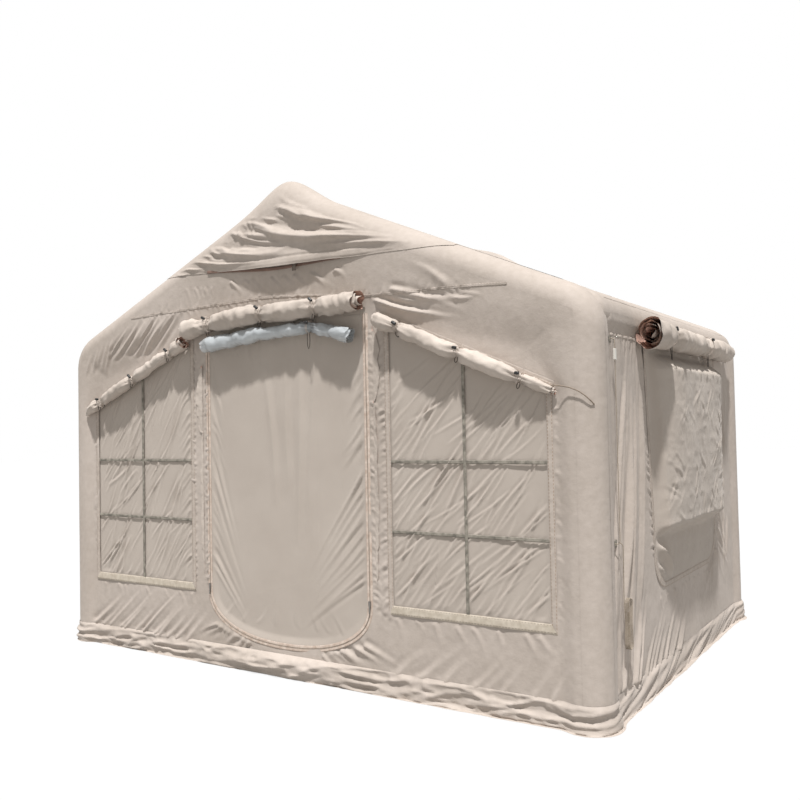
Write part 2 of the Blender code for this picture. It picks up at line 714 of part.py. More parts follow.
slider_out = tape_out + WEBBING + CLEARANCE
for side, sign in (("left", -1), ("right", 1)):
    across = sign * DOOR_WIDTH / 2
    level = DOOR_STRAIGHT_END + SLIDER_HEIGHT / 2
    size = (SLIDER_WIDTH, SLIDER_HEIGHT, SLIDER_DEPTH)
    middle = (across, level, slider_out + SLIDER_DEPTH / 2)
    slider = block(f"zip_slider_{side}", size, middle, zip_metal, FRONT, SLIDER_ROUNDING)
    pull_top = level
    pull_end = level - SLIDER_HEIGHT / 2 - PULL_LENGTH
    half_pull = PULL_WIDTH / 2
    pull_edge = [
        (across - half_pull, pull_end),
        (across + half_pull, pull_end),
        (across + half_pull, pull_top),
        (across - half_pull, pull_top),
    ]
    eye_middle = pull_end + half_pull
    eye = []
    for step in range(PULL_EYE_SIDES):
        turn = 2 * math.pi * step / PULL_EYE_SIDES
        eye.append((across + PULL_EYE * math.cos(turn), eye_middle + PULL_EYE * math.sin(turn)))
    pull_out = slider_out + SLIDER_DEPTH - PULL_DEPTH
    pull = meshed(panel(f"pull_{side}", [pull_edge, eye], pull_out, PULL_DEPTH, FRONT, zip_metal))
    fused(slider, [pull])


# Rolled covers: cloth wound on itself, fat between its ties and drawn in at each
def roll_place(places, share):
    """The roll's middle line at a share of its length, as (across, up)."""
    run = share * (len(places) - 1)
    index = min(int(run), len(places) - 2)
    ease = run - index
    (across, up), (next_across, next_up) = places[index], places[index + 1]
    return Vector((across + (next_across - across) * ease, up + (next_up - up) * ease))


def roll_stations(places, ties):
    length = (Vector(places[-1]) - Vector(places[0])).length
    half_band_share = (TIE_WIDTH / 2 + CLEARANCE) / length
    waist_share = ROLL_WAIST_LENGTH / length
    bends = len(places) - 1
    shares = [step / bends for step in range(bends + 1)]
    shares = [s for s in shares if all(abs(s - tie) > waist_share for tie in ties)]
    for tie in ties:
        shares += [tie - waist_share, tie - half_band_share, tie + half_band_share, tie + waist_share]
    return sorted(min(max(share, 0), 1) for share in shares)


def roll_swell(share, ties, length):
    """How fat the roll is at a share of its length, against its full radius."""
    half_band = TIE_WIDTH / 2 + 2 * CLEARANCE
    for tie in ties:
        if abs(share - tie) * length <= half_band:
            return 1 - ROLL_WAIST_SHARE
    return 1


def roll(name, places, ties, radius, seat, frame, finish):
    """Cloth wound up outwards: a spiral that leaves the wall at the roll's back and goes under it first."""
    length = (Vector(places[-1]) - Vector(places[0])).length
    steps = int(ROLL_TURNS * ROLL_POINTS_A_TURN)
    sections = []
    for share in roll_stations(places, ties):
        across, up = roll_place(places, share)
        swell = roll_swell(share, ties, length)
        outer = []
        inner = []
        for step in range(steps + 1):
            turn = -math.pi / 2 - 2 * math.pi * step / ROLL_POINTS_A_TURN
            wound_share = ROLL_PITCH_SHARE * step / ROLL_POINTS_A_TURN
            sweep = Vector((0, math.cos(turn), math.sin(turn))) * radius * swell
            middle = Vector((across, up, seat + radius))
            outer.append(middle + sweep * (1 - wound_share))
            inner.append(middle + sweep * (1 - wound_share - ROLL_CLOTH_SHARE))
        sections.append(outer + inner[::-1])
    return loft(name, sections, finish, frame)


def tie_parts(name, places, share, radius, seat, base, frame, finish, tongue_ends):
    """A tie: a loop round the roll's waist, the tongue that holds it to the wall, and its toggle."""
    across, up = roll_place(places, share)
    length = (Vector(places[-1]) - Vector(places[0])).length
    half_share = TIE_WIDTH / 2 / length
    ends = [roll_place(places, share + sign * half_share) for sign in (-1, 1)]
    facet_turn = math.pi / TIE_SIDES
    loop_inner = (radius * (1 - ROLL_WAIST_SHARE) + CLEARANCE) / math.cos(facet_turn)
    loop_outer = loop_inner + WEBBING
    sections = []
    for step in range(TIE_SIDES):
        sweep = Vector((0, math.cos(2 * facet_turn * step), math.sin(2 * facet_turn * step)))
        corners = []
        for end, reach in ((0, loop_inner), (1, loop_inner), (1, loop_outer), (0, loop_outer)):
            corners.append(Vector((*ends[end], seat + radius)) + sweep * reach)
        sections.append(corners)
    loop = loft(f"{name}_loop", sections, finish, frame, closed=True)

    half_tongue = TIE_WIDTH / 2 * TONGUE_SHARE
    low, high = sorted(up + end for end in tongue_ends)
    tongue_edge = [
        (across - half_tongue, low),
        (across + half_tongue, low),
        (across + half_tongue, high),
        (across - half_tongue, high),
    ]
    tongue_depth = seat + radius - loop_inner * math.cos(facet_turn) - WEBBING / 2 - base
    tongue = meshed(panel(f"{name}_tongue", [tongue_edge], base, tongue_depth, frame, finish))

    toggle_turn = 2 * math.pi * TOGGLE_TURN_SHARE
    reach = loop_outer * math.cos(facet_turn) + TOGGLE_RADIUS - WEBBING / 2
    sweep = Vector((0, math.cos(toggle_turn), math.sin(toggle_turn)))
    middle = frame @ (Vector((across, up, seat + radius)) + sweep * reach)
    axis = frame.to_3x3() @ Vector((0, -math.sin(toggle_turn), math.cos(toggle_turn)))
    toggle = cylinder(
        f"{name}_toggle", TOGGLE_RADIUS, TOGGLE_LENGTH, middle, axis, finish, TOGGLE_SIDES
    )
    return [loop, tongue, toggle]


def ties_on(name, places, shares, radius, seat, base, frame, finish, hem_up):
    """A hem along the wall beside the roll, with a tie at each share of its length."""
    low = [Vector(place) + Vector((0, hem_up)) for place in places]
    high = [place + Vector((0, TIE_HEM)) for place in low]
    hem = meshed(panel(name, [low + high[::-1]], base, WEBBING, frame, finish))
    past_middle = -math.copysign(TIE_HEM / 4, hem_up)
    parts = []
    for index, share in enumerate(shares):
        tongue_ends = (past_middle, hem_up + TIE_HEM / 2)
        parts += tie_parts(
            f"{name}_{index}", places, share, radius, seat, base, frame, finish, tongue_ends
        )
    return fused(hem, parts)


door_seat = WALL_OUT + CLEARANCE
door_line = [(across, DOOR_TOP + up) for across, up in DOOR_ROLL_LINE]
roll("door_canvas_roll", door_line, DOOR_TIE_SHARES, DOOR_ROLL_RADIUS, door_seat, FRONT, roll_cloth)
clear_seat = tape_out + WEBBING + CLEARANCE
clear_line = [(across, DOOR_TOP + up) for across, up in CLEAR_ROLL_LINE]
roll("door_clear_roll", clear_line, [CLEAR_TIE_SHARE], CLEAR_ROLL_RADIUS, clear_seat, FRONT, clear_film)

# The clear roll hangs in a tie of its own, whose tongue runs down from the canvas roll's last one
door_hem_up = DOOR_ROLL_RADIUS + TIE_HEM / 2
door_ties = ties_on(
    "door_ties", door_line, DOOR_TIE_SHARES, DOOR_ROLL_RADIUS, door_seat, door_seat, FRONT, dark_webbing,
    door_hem_up,
)
last_tie_up = roll_place(door_line, DOOR_TIE_SHARES[-1]).y
clear_tie_up = roll_place(clear_line, CLEAR_TIE_SHARE).y
clear_tongue = (-TIE_HEM / 4, last_tie_up - clear_tie_up)
clear_tie = tie_parts(
    "clear_tie", clear_line, CLEAR_TIE_SHARE, CLEAR_ROLL_RADIUS, clear_seat, door_seat, FRONT,
    dark_webbing, clear_tongue,
)
fused(door_ties, clear_tie)


# Window rolls; the ties are modelled on the three windows that face the guy point
def window_line(side, sign):
    near, far = WINDOW_ROLL_ENDS[side]
    return [(sign * near, window_top(near)), (sign * far, window_top(far))]


window_seat = WALL_OUT + WEBBING + 2 * CLEARANCE
window_hem_up = WINDOW_ROLL_RADIUS + TIE_HEM / 2
for side, sign in (("left", -1), ("right", 1)):
    line = window_line(side, sign)
    for place, frame in (("front", FRONT), ("back", BACK)):
        name = f"window_roll_{place}_{side}"
        roll(name, line, WINDOW_TIE_SHARES, WINDOW_ROLL_RADIUS, window_seat, frame, roll_cloth)
    ties_on(
        f"window_ties_front_{side}", line, WINDOW_TIE_SHARES, WINDOW_ROLL_RADIUS, window_seat,
        window_seat, FRONT, dark_webbing, window_hem_up,
    )

# The side rolls lie under the eave beams, and their ties' hem is behind them
for side, frame, sign in (("right", RIGHT, 1), ("left", LEFT, -1)):
    side_line = [(sign * across, SIDE_ROLL_HEIGHT) for across in SIDE_ROLL_ENDS]
    name = f"window_roll_{side}"
    roll(name, side_line, SIDE_TIE_SHARES, SIDE_ROLL_RADIUS, window_seat, frame, roll_cloth)
side_line = [(across, SIDE_ROLL_HEIGHT) for across in SIDE_ROLL_ENDS]
side_hem_up = -TIE_HEM - TIE_HEM / 2
ties_on(
    "window_ties_right", side_line, SIDE_TIE_SHARES, SIDE_ROLL_RADIUS, window_seat, window_seat, RIGHT,
    dark_webbing, side_hem_up,
)


# Gable flaps, sewn to the rakes, which fan out in folds from the peak and stand off at the hem
def gable_flap(name, frame):
    peak = RAKE_TOP + FLAP_RISE
    half_hem = (peak - FLAP_HEM) / ROOF_SLOPE
    sections = []
    for row in range(FLAP_ROWS + 1):
        down_share = FLAP_TOP_SHARE + (1 - FLAP_TOP_SHARE) * row / FLAP_ROWS
        front = []
        for column in range(FLAP_COLUMNS + 1):
            across_share = 2 * column / FLAP_COLUMNS - 1
            fold = FLAP_FOLD * (1 + math.cos(math.pi * (FLAP_FOLDS * across_share + down_share))) / 2
            standoff = FLAP_STANDOFF * down_share * (1 - across_share**2) ** 2
            out = SLEEVE_RADIUS / INNER_STEP + CLEARANCE + fold * down_share + standoff
            front.append(
                Vector((half_hem * down_share * across_share, peak - (peak - FLAP_HEM) * down_share, out))
            )
        lifted = [place + Vector((0, 0, CLOTH)) for place in front]
        sections.append(front + lifted[::-1])
    return loft(name, sections, canvas, frame)


gable_flap("gable_flap_front", FRONT)
gable_flap("gable_flap_back", BACK)


# Mud skirt: a band sewn round the foot of the walls and posts, which flares out onto the ground
def skirt_run(half_length, reach):
    """Places along one side, as (along, out): drawn in to the wall between the posts."""
    chord = math.sqrt(SLEEVE_RADIUS**2 - WALL_OUT**2)
    flat = half_length - chord - SKIRT_RAMP
    steps = round(2 * flat / SKIRT_STEP)
    at_post = reach + SLEEVE_RADIUS + CLEARANCE
    at_wall = reach + WALL_OUT + CLEARANCE
    run = [(-half_length, at_post), (-half_length + chord, at_post)]
    run += [(-flat + 2 * flat * step / steps, at_wall) for step in range(steps + 1)]
    return run + [(half_length - chord, at_post)]


def mud_skirt():
    places = []
    sides = ((0, POST_X, ARCH_Y), (90, ARCH_Y, POST_X), (180, POST_X, ARCH_Y), (270, ARCH_Y, POST_X))
    for heading, half_length, reach in sides:
        turn = Matrix.Rotation(math.radians(heading), 3, "Z")
        outward = turn @ Vector((0, -1, 0))
        for along, out in skirt_run(half_length, reach):
            places.append((turn @ Vector((along, -out, 0)), outward))
        corner = turn @ Vector((half_length, -reach, 0))
        for step in range(BEND_STEPS + 1):
            swing = Matrix.Rotation(math.radians(90) * step / (BEND_STEPS + 1), 3, "Z")
            facing = swing @ outward
            places.append((corner + facing * (SLEEVE_RADIUS + CLEARANCE), facing))
    sections = []
    for index, (place, facing) in enumerate(places):
        wave = 2 * math.pi * index / len(places)
        fold = SKIRT_FOLD * (2 + math.sin(SKIRT_FOLDS * wave) + math.sin(SKIRT_BILLOWS * wave)) / 4
        knee_out = SKIRT_KNEE_FLARE_SHARE * SKIRT_FLARE + fold
        knee_up = SKIRT_HEIGHT * SKIRT_KNEE_SHARE
        profile = [
            (0, SKIRT_HEIGHT),
            (knee_out, knee_up),
            (SKIRT_FLARE + fold, 0),
            (SKIRT_FLARE + fold + 2 * CLOTH, 0),
            (knee_out + CLOTH, knee_up + CLOTH / 2),
            (CLOTH, SKIRT_HEIGHT),
        ]
        sections.append([place + facing * out + Vector((0, 0, up)) for out, up in profile])
    return loft("mud_skirt", sections, canvas, closed=True)


mud_skirt()


# Guy points: webbing tabs on the right wall's front edge, their line, its tensioner and its hank
def guy_tab(name, height, eyes):
    """A flat webbing tab on the wall's face, beside the post."""
    start = GUY_LINE_BEHIND - ARCH_Y - TAB_WIDTH
    edge = [
        (start, height - TAB_WIDTH / 2),
        (start + TAB_LENGTH, height - TAB_WIDTH / 2),
        (start + TAB_LENGTH, height + TAB_WIDTH / 2),
        (start, height + TAB_WIDTH / 2),
    ]
    holes = []
    for across in eyes:
        hole = []
        for step in range(TIE_SIDES):
            turn = 2 * math.pi * step / TIE_SIDES
            hole.append((across + TAB_EYE * math.cos(turn), height + TAB_EYE * math.sin(turn)))
        holes.append(hole)
    return panel(name, [edge, *holes], WALL_OUT + CLEARANCE, 2 * WEBBING, RIGHT, webbing)


wall_face = POST_X + WALL_OUT
line_y = GUY_LINE_BEHIND - ARCH_Y
drop_y = GUY_DROP_BEHIND - ARCH_Y
middle_height = (UPPER_TAB_HEIGHT + LOWER_TAB_HEIGHT) / 2
from_upper_eye = [Vector((wall_face + out, line_y, UPPER_TAB_HEIGHT - below)) for out, below in EYE_ROUTE]
into_lower_eye = [Vector((wall_face + out, line_y, LOWER_TAB_HEIGHT + below)) for out, below in EYE_ROUTE]
halfway = Vector((from_upper_eye[-1].x, line_y, middle_height))
upper_route = [*from_upper_eye, halfway, *into_lower_eye[::-1]]
drop_route = [Vector((wall_face + out, drop_y, LOWER_TAB_HEIGHT - below)) for out, below in EYE_ROUTE]
for out, behind, below in DROP_ROUTE:
    drop_route.append(Vector((wall_face + out, behind - ARCH_Y, LOWER_TAB_HEIGHT - below)))
roll_end_up = window_top(WINDOW_ROLL_ENDS["right"][1])
tie_route = []
for right, before, above in WINDOW_CORD_ROUTE:
    tie_route.append(Vector((POST_X + right, -ARCH_Y - before, roll_end_up + above)))
guy_tab("guy_tab_upper", UPPER_TAB_HEIGHT, [line_y])
guy_tab("guy_tab_lower", LOWER_TAB_HEIGHT, [line_y, drop_y])
tube("guy_line_upper", upper_route, GUY_CORD / 2, cord_fibre, CORD_SIDES)
tube("guy_line_drop", drop_route, GUY_CORD / 2, cord_fibre, CORD_SIDES)
tube("window_cord", tie_route, WINDOW_CORD / 2, cord_fibre, CORD_SIDES)


def hank_points():
    """The hank's turns, one unbroken line: a flat helix out from the wall with round ends, drawn in at its
    middle. The drop runs straight into its first turn."""
    start = drop_route[-1] - Vector((0, 0, CLEARANCE))
    reach = HANK_HEIGHT / 2
    round_end = HANK_WIDTH / 2
    middle = start + Vector((0, round_end, -reach))
    first = HANK_POINTS // 5
    points = [start]
    for step in range(first, HANK_LOOPS * HANK_POINTS):
        turn = 2 * math.pi * step / HANK_POINTS
        straight = max(-1, min(1, 2 * math.cos(turn)))
        draw_in = 1 - HANK_WAIST_SHARE * math.exp(-((2 * straight) ** 2))
        aside = round_end * draw_in * math.sin(turn)
        rise = (reach - round_end) * straight + round_end * math.cos(turn)
        climb = HANK_STEP * (step - first) / HANK_POINTS
        points.append(Vector((start.x + climb, middle.y - aside, middle.z + rise)))
    return points


def least_gap_between_turns(points, diameter):
    """The least gap between parts of the line that lie more than a quarter of a turn apart along it."""
    apart = HANK_POINTS // 4
    least = min((far - near).length for i, near in enumerate(points) for far in points[i + apart :])
    return least - diameter


hank = hank_points()
tube("guy_line_hank", hank, GUY_CORD / 2, cord_fibre, HANK_SIDES)
print(f"hank: least gap to itself {1000 * least_gap_between_turns(hank, GUY_CORD):.2f} mm")

tensioner_middle = Vector((halfway.x, line_y, UPPER_TAB_HEIGHT - TENSIONER_DROP))
tensioner_size = (TENSIONER_DEPTH, TENSIONER_WIDTH, TENSIONER_LENGTH)
tensioner = block(
    "guy_tensioner", tensioner_size, tensioner_middle, white_plastic, rounding=TENSIONER_ROUNDING
)
bore_length = TENSIONER_LENGTH + OVERRUN
bore = cylinder(
    "tensioner_bore", TENSIONER_BORE / 2, bore_length, tensioner_middle, (0, 0, 1), canvas, PORT_SIDES
)
cut(tensioner, [as_cutter(bore)])
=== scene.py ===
import math

import bpy
import numpy as np
from mathutils import Matrix, Vector


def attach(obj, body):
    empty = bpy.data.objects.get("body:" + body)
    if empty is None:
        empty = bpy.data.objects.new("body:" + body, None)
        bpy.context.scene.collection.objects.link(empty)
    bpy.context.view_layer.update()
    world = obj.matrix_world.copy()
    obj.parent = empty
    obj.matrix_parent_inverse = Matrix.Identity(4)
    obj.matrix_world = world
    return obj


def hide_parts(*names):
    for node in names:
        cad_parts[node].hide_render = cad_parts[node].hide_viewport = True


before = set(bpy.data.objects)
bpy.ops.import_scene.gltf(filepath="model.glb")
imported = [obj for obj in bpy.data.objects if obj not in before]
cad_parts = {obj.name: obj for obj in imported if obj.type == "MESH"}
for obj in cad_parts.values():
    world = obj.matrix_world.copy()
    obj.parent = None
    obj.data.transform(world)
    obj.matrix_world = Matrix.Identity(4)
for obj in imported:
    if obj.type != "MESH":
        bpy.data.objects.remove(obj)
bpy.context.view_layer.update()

# The view: a camera at chest height off the tent's right front corner, some 4.8 m from the tent's middle. It
# looks in over that corner, a hair upwards, and leans a little to one side.
CAMERA_PLACE = (2.5928, -4.0876, 1.1112)
CAMERA_YAW = -0.580411
CAMERA_PITCH = 0.031823
CAMERA_ROLL = -0.019957
CAMERA_LENS = 38.759

camera_data = bpy.data.cameras.new("view")
camera_data.lens = CAMERA_LENS
camera = bpy.data.objects.new("view", camera_data)
bpy.context.scene.collection.objects.link(camera)
camera.matrix_world = (
    Matrix.Translation(CAMERA_PLACE)
    @ Matrix.Rotation(-CAMERA_YAW, 4, "Z")
    @ Matrix.Rotation(math.pi / 2 + CAMERA_PITCH, 4, "X")
    @ Matrix.Rotation(CAMERA_ROLL, 4, "Z")
)
bpy.context.scene.camera = camera
bpy.context.scene.view_settings.view_transform = "Standard"


# The guy line: braided polyester cord, 3.2 mm thick. It is knotted into the upper webbing tab of the right
# front corner, runs down taut through a plastic tensioner to the lower tab, and its spare end hangs in a hank.
GUY_CORD = 0.0032
WINDOW_CORD = 0.0045
WALL_FACE = 1.48
LINE_Y = -0.95
DROP_Y = -0.92
UPPER_TAB = 1.42979
LOWER_TAB = 0.66
TAUT_STEPS = 12
HANK_LOOPS = 5
HANK_POINTS = 16
HANK_HEIGHT = 0.19
HANK_WIDTH = 0.036
HANK_STEP = 0.0042
HANK_WAIST_SHARE = 0.45
CORD_GAP = 0.0003


def linear(colour):
    """An sRGB hex colour as the linear values that a socket takes."""
    parts = [int(colour[i : i + 2], 16) / 255 for i in (1, 3, 5)]
    return [c / 12.92 if c <= 0.04045 else ((c + 0.055) / 1.055) ** 2.4 for c in parts] + [1]


def node(finish, kind, inputs=(), **settings):
    """Adds a shader node with its settings; inputs gives a socket a value, or links it to another's output."""
    made = finish.node_tree.nodes.new("ShaderNode" + kind)
    for name, value in settings.items():
        setattr(made, name, value)
    for socket, value in dict(inputs).items():
        if isinstance(value, bpy.types.NodeSocket):
            finish.node_tree.links.new(value, made.inputs[socket])
        else:
            made.inputs[socket].default_value = value
    return made


def new_finish(name, values=()):
    """A material whose shader's named inputs take the values, and nothing else."""
    finish = bpy.data.materials.new(name)
    finish.use_nodes = True
    shader = finish.node_tree.nodes["Principled BSDF"]
    for socket, value in dict(values).items():
        shader.inputs[socket].default_value = value
    return finish, shader


def noise(finish, place, scale, detail, **values):
    """Blender's noise at a place, from 0 to 1."""
    inputs = {"Vector": place, "Scale": scale, "Detail": detail, **values}
    return node(finish, "TexNoise", inputs).outputs["Fac"]


def shaded(finish, shader, share, first, second):
    """Colours a finish from its first shade to its second, by a share from 0 to 1."""
    mix = node(finish, "Mix", {0: share, 6: linear(first), 7: linear(second)}, data_type="RGBA")
    finish.node_tree.links.new(mix.outputs[2], shader.inputs["Base Color"])


def embossed(finish, shader, height, strength, distance, **under):
    """Gives a finish its relief, over the relief under it if there is one."""
    inputs = {"Height": height, "Strength": strength, "Distance": distance, **under}
    relief = node(finish, "Bump", inputs).outputs["Normal"]
    finish.node_tree.links.new(relief, shader.inputs["Normal"])
    return relief


def braided_cord(name, pale, dark):
    """Braided polyester: two shades of yarn that cross every few millimetres, so it looks speckled and matt.
    The real picks are 1 mm apart, and are drawn 4 mm apart, which is the finest that shows."""
    finish, shader = new_finish(name, {"Roughness": 0.8})
    yarn = noise(finish, node(finish, "TexCoord").outputs["Object"], 260.0, 1.0)
    shaded(finish, shader, yarn, pale, dark)
    embossed(finish, shader, yarn, 0.5, 0.0006)
    return finish


def cord_curve(name, route, thickness, finish):
    """A round cord on one smooth line through the points."""
    curve = bpy.data.curves.new(name, "CURVE")
    curve.dimensions = "3D"
    curve.bevel_depth = thickness / 2
    curve.bevel_resolution = 3
    curve.use_fill_caps = True
    curve.resolution_u = 4
    spline = curve.splines.new("BEZIER")
    spline.bezier_points.add(len(route) - 1)
    for knot, place in zip(spline.bezier_points, route):
        knot.co = place
        knot.handle_left_type = "AUTO"
        knot.handle_right_type = "AUTO"
    made = bpy.data.objects.new(name, curve)
    curve.materials.append(finish)
    bpy.context.scene.collection.objects.link(made)
    return made


guy_braid = braided_cord("braided_polyester_cord", "#B5A897", "#7F7263")
EYE_ROUTE = [(0.0006, 0), (0.0120, 0), (0.0170, 0.0015), (0.0205, 0.0055), (0.0220, 0.0110)]
DROP_ROUTE = [
    (0.0218, -0.918, 0.0400),
    (0.0205, -0.914, 0.0900),
    (0.0180, -0.909, 0.1500),
    (0.0160, -0.905, 0.2097),
]
line_out, eye_drop = EYE_ROUTE[-1]
taut_top, taut_foot = UPPER_TAB - eye_drop, LOWER_TAB + eye_drop
upper_route = [(WALL_FACE + out, LINE_Y, UPPER_TAB - below) for out, below in EYE_ROUTE]
for step in range(1, TAUT_STEPS):
    upper_route.append((WALL_FACE + line_out, LINE_Y, taut_top + (taut_foot - taut_top) * step / TAUT_STEPS))
upper_route += [(WALL_FACE + out, LINE_Y, LOWER_TAB + below) for out, below in EYE_ROUTE[::-1]]
guy_line = cord_curve("guy_line", upper_route, GUY_CORD, guy_braid)
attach(guy_line, "tent")
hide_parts("guy_line_upper")

drop_route = [(WALL_FACE + out, DROP_Y, LOWER_TAB - below) for out, below in EYE_ROUTE]
drop_route += [(WALL_FACE + out, along, LOWER_TAB - below) for out, along, below in DROP_ROUTE]
hank_top = Vector(drop_route[-1]) - Vector((0, 0, CORD_GAP))
round_end = HANK_WIDTH / 2
first_step = HANK_POINTS // 5
for step in range(first_step, HANK_LOOPS * HANK_POINTS):
    turn = 2 * math.pi * step / HANK_POINTS
    straight = max(-1, min(1, 2 * math.cos(turn)))
    draw_in = 1 - HANK_WAIST_SHARE * math.exp(-((2 * straight) ** 2))
    aside = round_end * draw_in * math.sin(turn)
    rise = (HANK_HEIGHT / 2 - round_end) * straight + round_end * math.cos(turn)
    climb = HANK_STEP * (step - first_step) / HANK_POINTS
    place = (hank_top.x + climb, hank_top.y + round_end - aside, hank_top.z - HANK_HEIGHT / 2 + rise)
    drop_route.append(place)
guy_hank = cord_curve("guy_line_hank_and_drop", drop_route, GUY_CORD, guy_braid)
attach(guy_hank, "tent")
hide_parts("guy_line_drop", "guy_line_hank")


# The window roll's tie cord: a flat braid, 4.5 mm wide, from the roll's low end round the front of the right
# post to the seam at its side, where it is sewn in.
WINDOW_CORD_ROUTE = [
    (1.3253, -1.1438, 1.2536),
    (1.3450, -1.1445, 1.2530),
    (1.3800, -1.1442, 1.2480),
    (1.4150, -1.1420, 1.2365),
    (1.4450, -1.1345, 1.2180),
    (1.4660, -1.1215, 1.1960),
    (1.4755, -1.1055, 1.1800),
]
window_braid = braided_cord("pale_braided_cord", "#9C8D7D", "#6B5D50")
window_cord = cord_curve("window_roll_cord", WINDOW_CORD_ROUTE, WINDOW_CORD, window_braid)
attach(window_cord, "tent")
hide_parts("window_cord")


# The floor and the light: a plain pale floor, a high hazy sun behind the camera and an even
# sky. The floor and the sky show as white, and the floor keeps the tent's shadow.
SUN_STRENGTH = 4.8
SUN_ELEVATION = math.radians(69)
SUN_AZIMUTH = math.radians(27)
SUN_ANGLE = math.radians(2.5)
SKY_STRENGTH = 0.43
FLOOR_SIZE = 60.0
FLOOR_WHITE_SHARE = 0.78


def seen_by(finish, *kinds):
    """1 for the rays of these kinds, 0 for the others."""
    rays = node(finish, "LightPath").outputs
    seen = rays[f"Is {kinds[0]} Ray"]
    for kind in kinds[1:]:
        seen = node(finish, "Math", {0: seen, 1: rays[f"Is {kind} Ray"]}, operation="MAXIMUM").outputs[0]
    return seen


ground = bpy.data.meshes.new("studio_floor")
half_floor = FLOOR_SIZE / 2
corners = [(x * half_floor, y * half_floor, 0) for x, y in ((-1, -1), (1, -1), (1, 1), (-1, 1))]
ground.from_pydata(corners, [], [(0, 1, 2, 3)])
studio_floor = bpy.data.objects.new("studio_floor", ground)
bpy.context.scene.collection.objects.link(studio_floor)
floor_paint, floor_shader = new_finish("studio_floor_paint")
floor_tree = floor_paint.node_tree
seen = seen_by(floor_paint, "Camera", "Glossy", "Transmission")
floor_tone = node(floor_paint, "Mix", {0: seen, 6: linear("#9F9E9C"), 7: linear("#C8C8C8")}, data_type="RGBA")
floor_diffuse = node(floor_paint, "BsdfDiffuse", {"Color": floor_tone.outputs[2]})
floor_white = node(floor_paint, "Emission", {"Strength": 1.0})
white_share = node(floor_paint, "Math", {0: seen, 1: FLOOR_WHITE_SHARE}, operation="MULTIPLY")
mixed = {0: white_share.outputs[0], 1: floor_diffuse.outputs[0], 2: floor_white.outputs[0]}
floor_mix = node(floor_paint, "MixShader", mixed)
floor_tree.nodes.remove(floor_shader)
floor_tree.links.new(floor_mix.outputs[0], floor_tree.nodes["Material Output"].inputs["Surface"])
ground.materials.append(floor_paint)

sky = bpy.data.worlds.new("studio_sky")
bpy.context.scene.world = sky
sky.use_nodes = True
sky_seen = seen_by(sky, "Camera", "Transmission")
sky_level = node(sky, "MapRange", {"Value": sky_seen, "To Min": SKY_STRENGTH, "To Max": 1.0})
background = sky.node_tree.nodes["Background"]
background.inputs["Color"].default_value = (1, 1, 1, 1)
sky.node_tree.links.new(sky_level.outputs[0], background.inputs["Strength"])

sun_data = bpy.data.lights.new("hazy_sun", "SUN")
sun_data.energy = SUN_STRENGTH
sun_data.angle = SUN_ANGLE
sun = bpy.data.objects.new("hazy_sun", sun_data)
bpy.context.scene.collection.objects.link(sun)
low = math.cos(SUN_ELEVATION)
towards_sun = Vector((math.sin(SUN_AZIMUTH) * low, -math.cos(SUN_AZIMUTH) * low, math.sin(SUN_ELEVATION)))
sun.matrix_world = towards_sun.to_track_quat("Z", "Y").to_matrix().to_4x4()


# The air frame's sleeves: tubes of the same coated polyester as the walls, sewn round the bladders. Two run as
# arches, post, rake, rake and post, and three as beams along the eaves and the ridge, all blown up firm.
SLEEVE_RADIUS = 0.09
RIDGE_RADIUS = 0.0674
POST_X = 1.41
ARCH_Y = 1.04
FOOT_Z = 0.0023
BEAM_X = 1.40
BEAM_Z = 1.5256
RAKE_TOP = 2.13215
ROOF_SLOPE = 0.426667
ROOF_COS = 0.91979
ARCH_BEND = 0.10
SLEEVE_CLOSE = 0.014
SLEEVE_CLOSE_RUN = 0.035
EAVE_Z = RAKE_TOP - ROOF_SLOPE * POST_X
BEAMS = (
    ("left", -BEAM_X, BEAM_Z, SLEEVE_RADIUS),
    ("right", BEAM_X, BEAM_Z, SLEEVE_RADIUS),
    ("ridge", 0, RAKE_TOP, RIDGE_RADIUS),
)
NOISE_CELLS = 97
CREASE_OCTAVES = 3


def rake_z(across):
    return RAKE_TOP - ROOF_SLOPE * np.abs(across)


def ramp(value, start, length):
    """Rises evenly from 0 at the start to 1 a length further on."""
    return np.clip((value - start) / length, 0, 1)


def hump(away, width):
    """1 at 0, and falls off smoothly to both sides."""
    return np.exp(-((away / width) ** 2))


def stacked(*parts):
    """Arrays side by side, as the coordinates of places."""
    return np.stack(np.broadcast_arrays(*parts), axis=-1)


def runs_along(path):
    """How far along a path each of its places is."""
    return np.concatenate([[0], np.cumsum(np.linalg.norm(np.diff(path, axis=0), axis=1))])


def ways_along(path):
    """The direction of a path at each of its places."""
    ways = np.gradient(path, axis=0)
    return ways / np.linalg.norm(ways, axis=1)[:, None]


def value_noise(x, y, seed):
    """Smooth noise from -1 to 1, about one bump in each unit of x and y."""
    table = np.random.default_rng(seed).uniform(-1, 1, (NOISE_CELLS, NOISE_CELLS))
    xi, yi = np.floor(x).astype(int), np.floor(y).astype(int)
    xf, yf = x - xi, y - yi
    xf, yf = xf * xf * (3 - 2 * xf), yf * yf * (3 - 2 * yf)
    corners = [table[(xi + i) % NOISE_CELLS, (yi + j) % NOISE_CELLS] for i in (0, 1) for j in (0, 1)]
    low = corners[0] + (corners[2] - corners[0]) * xf
    high = corners[1] + (corners[3] - corners[1]) * xf
    return low + (high - low) * yf


def crumple(x, y, seed):
    """Creased noise: sharp ridges with soft hollows between them, as in crushed cloth."""
    total, weight = 0, 1.0
    for octave in range(CREASE_OCTAVES):
        total = total + weight * (1 - 2.2 * np.abs(value_noise(x, y, seed + octave)))
        x, y, weight = 1.9 * x + 7.3, 1.9 * y + 2.1, weight * 0.5
    return total / 2


